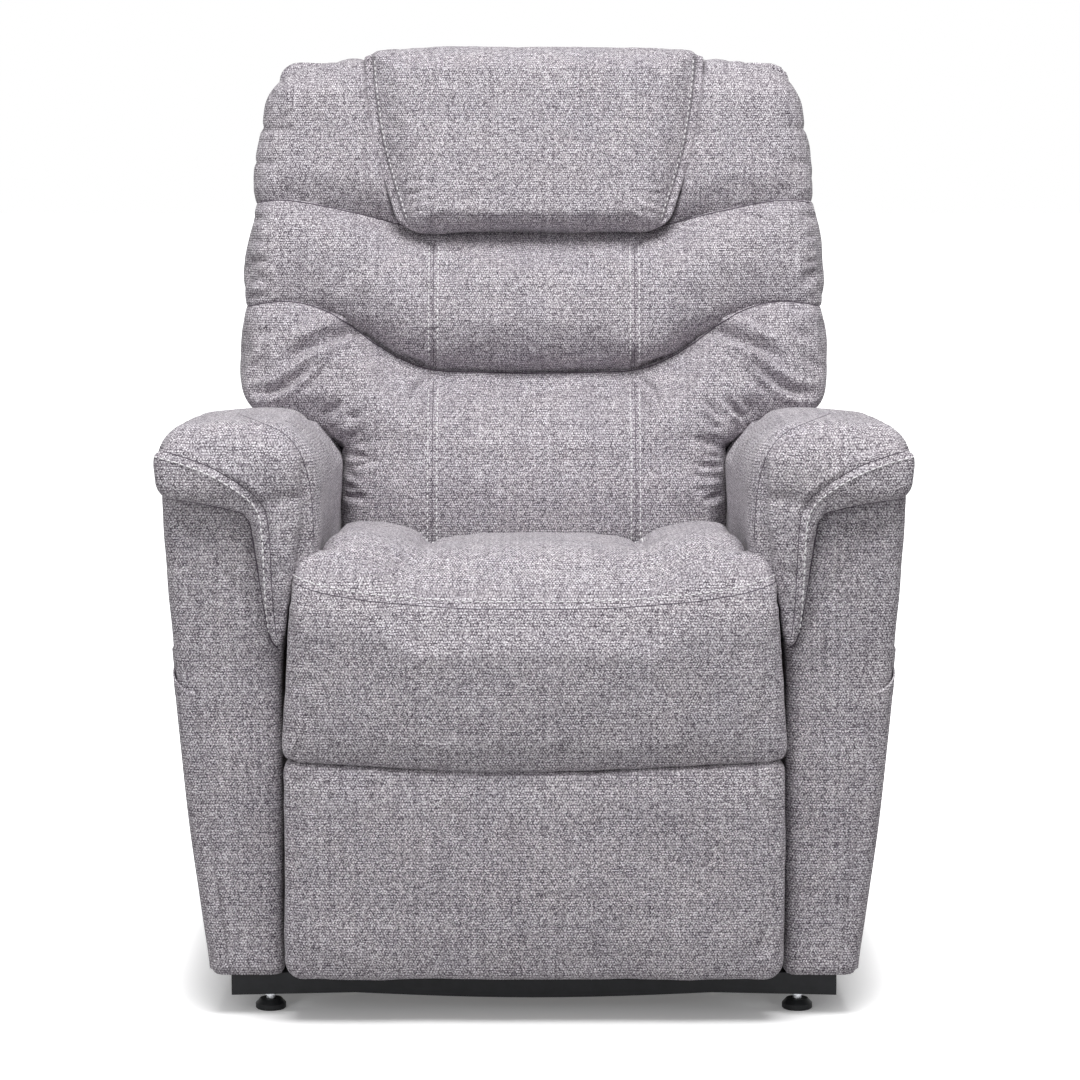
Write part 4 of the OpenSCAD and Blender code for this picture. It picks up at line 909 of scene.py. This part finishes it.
def make_pocket():
    """A sheet of cloth sewn to the arm at its front, lower and rear edges, standing open at its rim."""
    thick = 1.6
    length = POCKET_REAR - ARM_FRONT - ARM_CORNER + POCKET_REACH - ARM_CORNER + ARM_CORNER * math.pi / 2
    s = np.linspace(0, length, 111)[None, :]
    v = np.linspace(0, 1, 81)[:, None]
    rim = POCKET_RIM + 6 - 24 * ease(1 - s / 45) - 6 * ease((s - 45) / 80)
    z = POCKET_LOW - 2 + (rim - POCKET_LOW + 2) * v
    x, y, nx, ny = pocket_point(s + 0 * z, z)
    stand = (POCKET_OUT - 1) * ease((z - 200) / 150)
    stand = stand * ease((y - POCKET_FRONT - 60) / 120) * ease((POCKET_REAR - y) / 60)
    hem = 0.9 * ease((z - rim + 24) / 3) * (0.4 + 0.6 * ease((s - 70) / 60))
    sag = 1.2 * ripples(x, y, z, 110, 41)
    sewn = ease(s / 20) * ease((length - s) / 20) * v ** 0.4 * (0.3 + 0.7 * ease((s - 60) / 80))
    out = 0.4 + stand + (sag + 1.2) * sewn + hem
    outer = np.stack([x + nx * (out + thick), y + ny * (out + thick), z], -1)
    inner = np.stack([x + nx * out, y + ny * out, z], -1)
    return two_layers("pocket_cloth_left", outer, inner), length, rim.max() - POCKET_LOW


def make_arms():
    panel, pad = make_arm_panel(), make_arm_pad()
    dark, light, top = arm_lines(pad)
    edge = upright([(x + 1.5, z - 1.5) for x, z in FLANGE[13:]] + [(404, 592)], -500)
    # Dark tubes in the flange's seam and over the arm's top: painted shade of the seam creases.
    flange_seam_shade = seam("arm_flange_seam_left", dark)
    # A dark tube on the panel along the flange's lower and outer edge: painted shadow cast by the flange.
    flange_shadow = seam("arm_flange_edge_left", [laid(panel, smooth_line(edge))], 1.4, 0.2)
    row = stitches("arm_flange_stitches_left", light)
    top_seam_shade = seam("arm_top_seam_left", top, 0.6, -0.2)
    pocket, pocket_length, pocket_height = make_pocket()
    pieces = [(panel, UPHOLSTERY, ("arm_panel_left",)), (pad, UPHOLSTERY, ("arm_pad_left",)),
              (flange_seam_shade, SEAM_SHADE, ()), (row, THREAD_LIGHT, ()), (top_seam_shade, SEAM_SHADE, ()),
              (flange_shadow, SEAM_SHADE, ()), (pocket, UPHOLSTERY, ("side_pocket_left",))]
    for piece, material, replaced in pieces:
        other = mirrored(piece.name.replace("left", "right"), piece)
        finish(piece, material, "chassis", replaced)
        finish(other, material, "chassis", tuple(n.replace("left", "right") for n in replaced))


def make_dust_covers():
    low, high = cad("arm_dust_covers")
    wide, length = 70, high[1] - low[1]
    u, v = np.meshgrid(np.linspace(0, 1, 11), np.linspace(0, 1, 61))
    x = 287 + wide * u
    y = low[1] + length * v
    wave = 0.5 * ripples(x, y, 0 * x, 60, 51) * np.sin(math.pi * u) * np.sin(math.pi * v)
    upper, lower = (np.stack([x, y, high[2] - depth + wave], -1) for depth in (0.7, 1.3))
    left = two_layers("dust_cover_left", upper, lower)
    right = mirrored("dust_cover_right", left)
    for piece, panel in ((left, "arm_panel_cover_left"), (right, "arm_panel_cover_right")):
        finish(piece, BACKING, "chassis", ("arm_dust_covers",))


# ---- Back ----

LEAN = math.tan(math.radians(17))
FRAME_SET = 25 * math.sqrt(1 + LEAN * LEAN)
CHANNEL = 128
SEAM_GAP = 1.8
LOW_SEAM = [(0, 693), (129, 696), (165, 708), (195, 725), (245, 763), (275, 778), (308, 786), (340, 784),
            (375, 776)]
HIGH_SEAM = [(0, 874), (150, 876), (177, 882), (220, 894), (260, 903), (300, 911), (323, 913), (345, 911),
             (375, 905)]
BACK_SIDE = [(600, 366), (645, 368), (662, 370), (690, 372), (730, 371), (776, 368), (800, 368), (850, 365),
             (885, 361), (907, 359), (930, 361), (963, 358), (1002, 350), (1044, 345), (1064, 341)]
BACK_LID = [(0, 1094), (215, 1094), (240, 1091), (281, 1086), (304, 1081), (322, 1072), (336, 1058),
            (350, 1036)]
PILLOW_SIDE = [(870, 162), (889, 176), (949, 195), (996, 207), (1056, 216), (1110, 221)]
LOWER_FOLDS = [([(203, 753), (236, 748), (268, 739), (294, 727), (312, 712)], 1.7, 2.2),
               ([(281, 709), (303, 690), (323, 677), (358, 671)], 1.3, 1.9),
               ([(262, 706), (284, 682), (300, 668)], 0.9, 0.9), ([(322, 759), (353, 738)], 1.2, 0.8),
               ([(338, 719), (362, 700)], 1.2, 0.6), ([(131, 690), (150, 676), (158, 655)], 1, 0.8)]
MIDDLE_FOLDS = [([(126, 700), (128, 726)], 1, 1.2), ([(172, 716), (150, 704), (132, 706)], 1.4, 1),
                ([(140, 868), (128, 850)], 1, 1), ([(330, 800), (358, 822)], 1.6, 0.5)]


def low_seam(x):
    return smooth_track(LOW_SEAM, np.abs(x), 14)


def high_seam(x):
    return smooth_track(HIGH_SEAM, np.abs(x), 14)


def pillow_side(z):
    return smooth_track(PILLOW_SIDE, z, 10)


def back_edge(z):
    """Half width of the back, with the small notches where its seams and gathers draw in."""
    notches = 1 * bump(z - 778, 5) + 1.2 * bump(z - 908, 6) + 3 * bump(z - 1003, 4) + 2 * bump(z - 960, 5)
    return smooth_track(BACK_SIDE, z, 9) - notches


def back_lid(x):
    """Height of the top of the back across its width."""
    across = np.abs(x)
    notches = 2.5 * bump(across - 281, 5) + 2.5 * bump(across - 256, 5)
    return smooth_track(BACK_LID, across, 8) - notches


def draw(distance, across, depths, reaches, power=2.2):
    """How far cloth is drawn in at a distance from a seam; its depths and reaches go by the place across."""
    return track(depths, across) * np.clip(1 - distance / track(reaches, across), 0, 1) ** power


def channel_lines(x, depth):
    """How far cloth is drawn in by the two sewn channels."""
    return depth * (bump(x - CHANNEL, 15) + bump(x + CHANNEL, 15))


def forward(y, z):
    """Distance in front of the plane of the back's wooden frame."""
    return BACK_Y + (z - BACK_Z) * LEAN - FRAME_SET - y


def rear_limit(x, q):
    """The cushions end on the frame's plane, and wrap back past the frame at their sides."""
    return -q - np.where(np.abs(x) > 328, 29, 0.6)


def lower_section(x, y, z):
    q, across = forward(y, z), np.abs(x)
    gap = low_seam(x) - z
    depth = 100 + 20 * ease((z - 455) / 110) - 4 * ease((z - 620) / 80)
    depth = depth - draw(gap, across, [(0, 46), (190, 42), (235, 24), (300, 9), (370, 5)],
                         [(190, 85), (300, 34)])
    depth = depth - channel_lines(x, 7) * ease((z - 440) / 60)
    front = q - depth
    wing_low = track([(241, 606), (250, 614), (262, 624), (275, 629), (292, 633), (330, 639), (362, 646),
                      (375, 650)], across)
    lumbar = meet(34, front, across - 240.5)
    wing = meet(30, front + 4 * ease((across - 250) / 60), across - back_edge(z), wing_low - z)
    body = join(10, lumbar, wing)
    return np.maximum(np.maximum(meet(2, body, -SEAM_GAP - gap), rear_limit(x, q)), 440 - z)


def middle_section(x, y, z):
    q, across = forward(y, z), np.abs(x)
    low, high = z - low_seam(x), high_seam(x) - z
    depth = 112 + 4 * np.sin(math.pi * np.clip(low / 150, 0, 1))
    depth = depth - draw(low, across, [(0, 48), (190, 44), (235, 25), (300, 9), (370, 5)],
                         [(190, 46), (300, 24)], 2.0)
    depth = depth - draw(high, across, [(0, 40), (180, 36), (230, 18), (300, 8), (370, 5)],
                         [(190, 75), (300, 32)])
    depth = depth - channel_lines(x, 5) * ease((high - 8) / 30)
    body = meet(34, q - depth, across - back_edge(z))
    return np.maximum(meet(2, body, -SEAM_GAP - low, -SEAM_GAP - high), rear_limit(x, q))


def upper_section(x, y, z):
    q, across = forward(y, z), np.abs(x)
    low = z - high_seam(x)
    behind = ease((pillow_side(z) - 3 - across) / 7 + 1)
    depth = 106 - draw(low, across, [(0, 40), (180, 30), (230, 18), (300, 8), (370, 5)],
                       [(190, 60), (300, 28)])
    depth = depth * (1 - behind) + np.minimum(depth, 60) * behind
    body = meet(36, q - depth, meet(10, across - back_edge(z), z - back_lid(x)))
    return np.maximum(meet(2, body, -SEAM_GAP - low), -q - 29)


def rear_cover(x, y, z):
    q, across = forward(y, z), np.abs(x)
    low, high = REAR_COVER
    wide = smooth_track([(300, 236), (610, 240), (700, 352), (1100, 352)], z, 12)
    edge = np.minimum(wide, back_edge(z) - 3)
    bulge = 34 + 40 * (1 - (across / 380) ** 2 * 0.4)
    body = meet(26, -q - bulge, across - edge, meet(20, z - high[2], low[2] - z))
    return np.maximum(body, q + 32.6)


def sided(side, folds):
    """Folds given for the sitter's left, on either side."""
    return [([(side * x, z) for x, z in points], wide, deep) for points, wide, deep in folds]


def gathers(side, count, spot, length, seed, tilt):
    """Short folds along a line of points, each running inwards from it."""
    rng = np.random.default_rng(seed)
    lines = []
    for k in range(count):
        t = (k + rng.uniform(-0.3, 0.3)) / max(1, count - 1)
        x, z = spot(min(1, max(0, t)))
        reach = length * rng.uniform(0.5, 1.3)
        angle = math.radians(tilt(t) + rng.uniform(-12, 12))
        far = (x - reach * math.cos(angle), z + reach * math.sin(angle))
        lines.append(([(x, z), far], rng.uniform(0.8, 1.3), rng.uniform(0.4, 1)))
    return sided(side, lines)


def make_section(name, low, high, field, edges, cap=7):
    """A section of the back, swollen but for its sewn edges(x, z)."""
    piece = skin(name, low, high, field)
    puff(piece, lambda x, y, z: sum(edges(x, z), np.where(forward(y, z) < 20, 1, 0)), cap, spare=0.02)
    return piece


def section_seam(below, above, edge, limit):
    """The seam between two back sections, laid on whichever stands further forward."""
    x = np.arange(-limit, limit + 1, 6.0)
    path = np.stack([x, 0 * x - 300, edge(x)], 1)
    points, normals = laid(below, path)
    other, _ = laid(above, path)
    points[:, 1] = np.minimum(points[:, 1], np.interp(points[:, 0], other[:, 0], other[:, 1]))
    return points, normals


def make_back():
    lower_folds, middle_folds, upper_folds = [], [], []
    for side in (-1, 1):
        lower_folds += sided(side, LOWER_FOLDS)
        lower_folds += gathers(side, 9, lambda t: (238, 640 - 95 * t), 34, 61 + side, lambda t: 38 - 50 * t)
        lower_folds += gathers(side, 5, lambda t: (262 + 20 * t, 640 + 8 * t), 30, 71 + side, lambda t: 55)
        middle_folds += sided(side, MIDDLE_FOLDS)
        middle_folds += gathers(side, 5, lambda t: (362, 790 + 100 * t), 22, 91 + side, lambda t: 8)
        upper_folds += gathers(side, 4, lambda t: (350 - 70 * t, 985 + 90 * t), 26, 95 + side,
                               lambda t: 10 + 60 * t)
    lower = make_section("back_lower_cushion", (-376, 60, 440), (376, 330, 790), lower_section,
                         lambda x, z: [bump(low_seam(x) - z, 9), bump(z - 440, 25)])
    middle = make_section("back_middle_cushion", (-376, 60, 690), (376, 360, 916), middle_section,
                          lambda x, z: [bump(z - low_seam(x), 8), bump(high_seam(x) - z, 8)])
    upper = make_section("back_upper_cushion", (-376, 150, 868), (376, 425, 1100), upper_section,
                         lambda x, z: [bump(z - high_seam(x), 8)], cap=6)
    low, high = REAR_COVER
    cover = skin("back_rear_panel", low, high + [0, 0, 2], rear_cover, 7)
    for piece, replaced, folds, height, seed in (
            (lower, "back_lower_section", [creases(lower_folds, 4.4, 6)], 1.3, 81),
            (middle, "back_middle_section", [creases(middle_folds, 4, 4.5)], 1.5, 82),
            (upper, "back_upper_section", [creases(upper_folds, 4, 1.8)], 1.3, 83),
            (cover, "back_rear_cover", [], 1.2, 84)):
        shape(piece, *map(facing_front, folds), waves((height, 130, seed), (0.45, 42, seed + 10)))
        finish(piece, UPHOLSTERY, "back", (replaced,))

    rows, lines = [], []
    for x in (-CHANNEL, CHANNEL):
        for offset in CHANNEL_ROWS:
            rows.append(laid(lower, upright([(x + offset, 676), (x + offset, 470)])))
            rows.append(laid(middle, upright([(x + offset, 855), (x + offset, 708)])))
        lines.append(laid(lower, upright([(x, 684), (x, 460)])))
        lines.append(laid(middle, upright([(x, 857), (x, 702)])))
    finish(stitches("back_channel_stitches", rows), THREAD_LIGHT, "back")
    # Dark tubes down the channels and across the section seams: painted shade of their creases.
    finish(seam("back_channel_seam_shade", lines, 0.6, -0.3), SEAM_SHADE, "back")
    across = [section_seam(lower, middle, low_seam, 364), section_seam(middle, upper, high_seam, 354)]
    finish(seam("back_section_seam_shade", across, 0.9, 0), SEAM_SHADE, "back")


WELT = 11


def pillow_low(x):
    return smooth_track([(0, 871.5), (148, 872.5), (160, 875), (172, 883), (190, 900)], np.abs(x), 6)


def make_pillow():
    low, high = cad("headrest_pillow")

    def field(x, y, z):
        q, across = forward(y, z), np.abs(x)
        side, top = pillow_side(z), z - high[2] + 7 * (x / 210) ** 4
        crown = meet(30, q - 128, meet(8, across - side + WELT, top - 2, pillow_low(x) - z))
        crown = np.maximum(crown, 75 - q)
        welt = meet(4, q - 106 + 12 * ease((z - 1040) / 60), across - side, top + 2,
                    pillow_low(x) + 2 - z, 76 - q)
        return join(5, crown, welt)

    def sewn(x, y, z):
        return np.where(forward(y, z) < 84, 1, 0) + bump(np.abs(x) - pillow_side(z) + 5, 9)

    pillow = skin("headrest_pillow_cushion", low - [10, 6, 4], high + [10, 0, 4], field, 4)
    puff(pillow, sewn, 5)
    rng = np.random.default_rng(101)
    tucks = [tuck(rng, side, (x, z), (135, z), (0, 12), (4, 12), 1, (0.4, 0.9))
             for side in (-1, 1) for x, z in ((158, 896), (161, 908), (164, 920), (167, 932))]
    groove = [([(side * (s - WELT + 1), z) for z, s in PILLOW_SIDE[1:]], 1, 1) for side in (-1, 1)]
    shape(pillow, facing_front(creases(tucks, 3.4, 1.8)), facing_front(creases(groove, 2.8, 2.2, 0.4)),
          waves((1.2, 140, 103), (0.4, 42, 104)))
    finish(pillow, UPHOLSTERY, "headrest", ("headrest_pillow",))
    rows, lines = [], []
    for side in (-1, 1):
        points = [(side * (s - WELT), z) for z, s in PILLOW_SIDE[1:-1]] + [(side * (219 - WELT), 1094)]
        path = smooth_line(upright(points))
        lines.append(laid(pillow, path))
        rows.append(laid(pillow, path + np.array([-side * 3.5, 0, 0])))
    # A dark tube along each welt seam: painted shade of its crease.
    finish(seam("pillow_seam_shade", lines, 0.45, -0.2), SEAM_SHADE, "headrest")
    finish(stitches("pillow_stitches", rows), THREAD_LIGHT, "headrest")


# ---- Finishes of the CAD nodes ----

CAD_FINISH = {
    "black_steel": (BLACK_STEEL, """base_side_rails front_cross_bar rear_cross_tube base_pivot_brackets
                    chassis_side_plates chassis_cross_tubes footrest_hinge_brackets footrest_side_plates
                    back_torque_tube"""),
    "grey_steel": (GREY_STEEL, """rear_lift_arms lift_torque_tube front_lift_links footrest_torque_tube
                   footrest_push_links"""),
    "zinc_steel": (ZINC, "foot_studs foot_jam_nuts base_pivot_pins chassis_pivot_pins seat_springs"),
    "rod_steel": (ROD, "lift_rod footrest_rod back_rod"),
    "black_plastic": (BLACK_PLASTIC, """foot_pads power_supply lift_motor lift_actuator_tube control_box
                      footrest_motor footrest_actuator_tube back_motor back_actuator_tube handset_shell"""),
    "button_plastic": (BUTTON, """handset_button_up handset_button_down handset_button_head_up
                       handset_button_head_down"""),
    "wood": (WOOD, """seat_frame arm_frame_left arm_frame_right footrest_upper_board footrest_lower_board
             back_frame headrest_board"""),
    "black_cloth": (WEBBING, "back_webbing"),
}


def finish_cad_nodes():
    for slot, (material, nodes) in CAD_FINISH.items():
        for name in nodes.split():
            node = frame["nodes"][name]
            if not node.material_slots:
                node.data.materials.append(material)
            for held in node.material_slots:
                held.material = material


# ---- Floor, light and camera ----


def make_stage():
    """A pale floor that keeps the chair's shadow and is white to the camera further out."""
    half = 40000
    corners = [(-half, -half, 0), (half, -half, 0), (half, half, 0), (-half, half, 0)]
    floor = piece_of("floor", corners, [(0, 1, 2, 3)], smooth=False)
    material, tree = node_tree("pale_floor")
    tree.nodes.remove(shader_of(tree))
    rays = tree.nodes.new("ShaderNodeLightPath")
    seen = math_node(tree, "MAXIMUM", rays.outputs["Is Camera Ray"], rays.outputs["Is Glossy Ray"])
    diffuse = new_node(tree, "BsdfDiffuse", {"Color": mix_colour(tree, seen, (0.42,) * 3, (0.92,) * 3)})

    def share(distance, reach):
        """The 4th power of a distance over the shadow's reach: two of them add up to a squarish oval."""
        part = math_node(tree, "DIVIDE", math_node(tree, "ABSOLUTE", distance), reach)
        return math_node(tree, "POWER", part, 4.0)

    x, y, _ = split(tree, piece_space(tree))
    across, along = share(x, 0.41), share(y, 0.53)
    far = new_node(tree, "MapRange", {"Value": math_node(tree, "ADD", across, along)},
                   {"From Min": 0.5, "From Max": 1.9})
    far.interpolation_type = "SMOOTHSTEP"
    strength = math_node(tree, "MULTIPLY", seen, math_node(tree, "ADD", far.outputs[0], 0.14))
    lift = new_node(tree, "Emission", {"Strength": strength})
    both = new_node(tree, "AddShader", {0: diffuse.outputs[0], 1: lift.outputs[0]})
    tree.links.new(both.outputs[0], tree.nodes["Material Output"].inputs["Surface"])
    floor.data.materials.append(material)


def make_world():
    """White to the camera and to gloss; a soft overhead sky to everything else."""
    world = bpy.data.worlds.new("studio")
    bpy.context.scene.world = world
    world.use_nodes = True
    tree = world.node_tree
    sky = tree.nodes["Background"]
    direction = tree.nodes.new("ShaderNodeTexCoord").outputs["Generated"]
    rise = math_node(tree, "MULTIPLY_ADD", split(tree, direction)[2], 0.5)
    rise.node.inputs[2].default_value = 0.5
    stops = [(0.45, (0.42, 0.42, 0.43)), (0.62, (0.50, 0.50, 0.51)), (1.0, (1.0, 1.0, 1.0))]
    tree.links.new(ramp_node(tree, rise, stops), sky.inputs["Color"])
    set_inputs(sky, {"Strength": 0.50})
    white = new_node(tree, "Background", {}, {"Color": (1, 1, 1, 1)})
    rays = tree.nodes.new("ShaderNodeLightPath")
    gloss = math_node(tree, "MAXIMUM", rays.outputs["Is Glossy Ray"], rays.outputs["Is Transmission Ray"])
    seen = math_node(tree, "MAXIMUM", rays.outputs["Is Camera Ray"], gloss)
    mix = new_node(tree, "MixShader", {0: seen, 1: sky.outputs[0], 2: white.outputs[0]})
    tree.links.new(mix.outputs[0], tree.nodes["World Output"].inputs["Surface"])


def soft_light(name, place_m, target_m, width, height, power):
    light = bpy.data.lights.new(name, "AREA")
    light.shape = "RECTANGLE"
    light.size, light.size_y = width, height
    light.energy = power
    lamp = bpy.data.objects.new(name, light)
    lamp.location = place_m
    lamp.rotation_euler = (Vector(target_m) - Vector(place_m)).to_track_quat("-Z", "Y").to_euler()
    bpy.context.scene.collection.objects.link(lamp)


CAMERA_Y, CAMERA_Z = -4443, 1000
CAMERA_PITCH = 6.42
FOCAL_PX, PHOTO_PX = 3631, 1080
CENTRE_PX = 534


def make_camera():
    data = bpy.data.cameras.new("camera")
    data.sensor_width = 36
    data.lens = FOCAL_PX / PHOTO_PX * data.sensor_width
    data.shift_x = (PHOTO_PX / 2 - CENTRE_PX) / PHOTO_PX
    data.clip_start, data.clip_end = 0.1, 200
    camera = bpy.data.objects.new("camera", data)
    camera.location = (0, CAMERA_Y * MM, CAMERA_Z * MM)
    camera.rotation_euler = (math.radians(90 - CAMERA_PITCH), 0, 0)
    bpy.context.scene.collection.objects.link(camera)
    bpy.context.scene.camera = camera


make_camera()
make_chaise()
make_foam_core()
make_lower_pad()
make_arms()
make_dust_covers()
make_back()
make_pillow()
finish_cad_nodes()
make_stage()
make_world()
soft_light("overhead", (0.2, -1.6, 4.0), (0, -0.1, 0.6), 2.6, 1.7, 132)
soft_light("front_fill", (-1.6, -4.2, 1.9), (0, 0, 0.5), 2.4, 2.0, 30)
bpy.context.scene.view_settings.view_transform = "Standard"
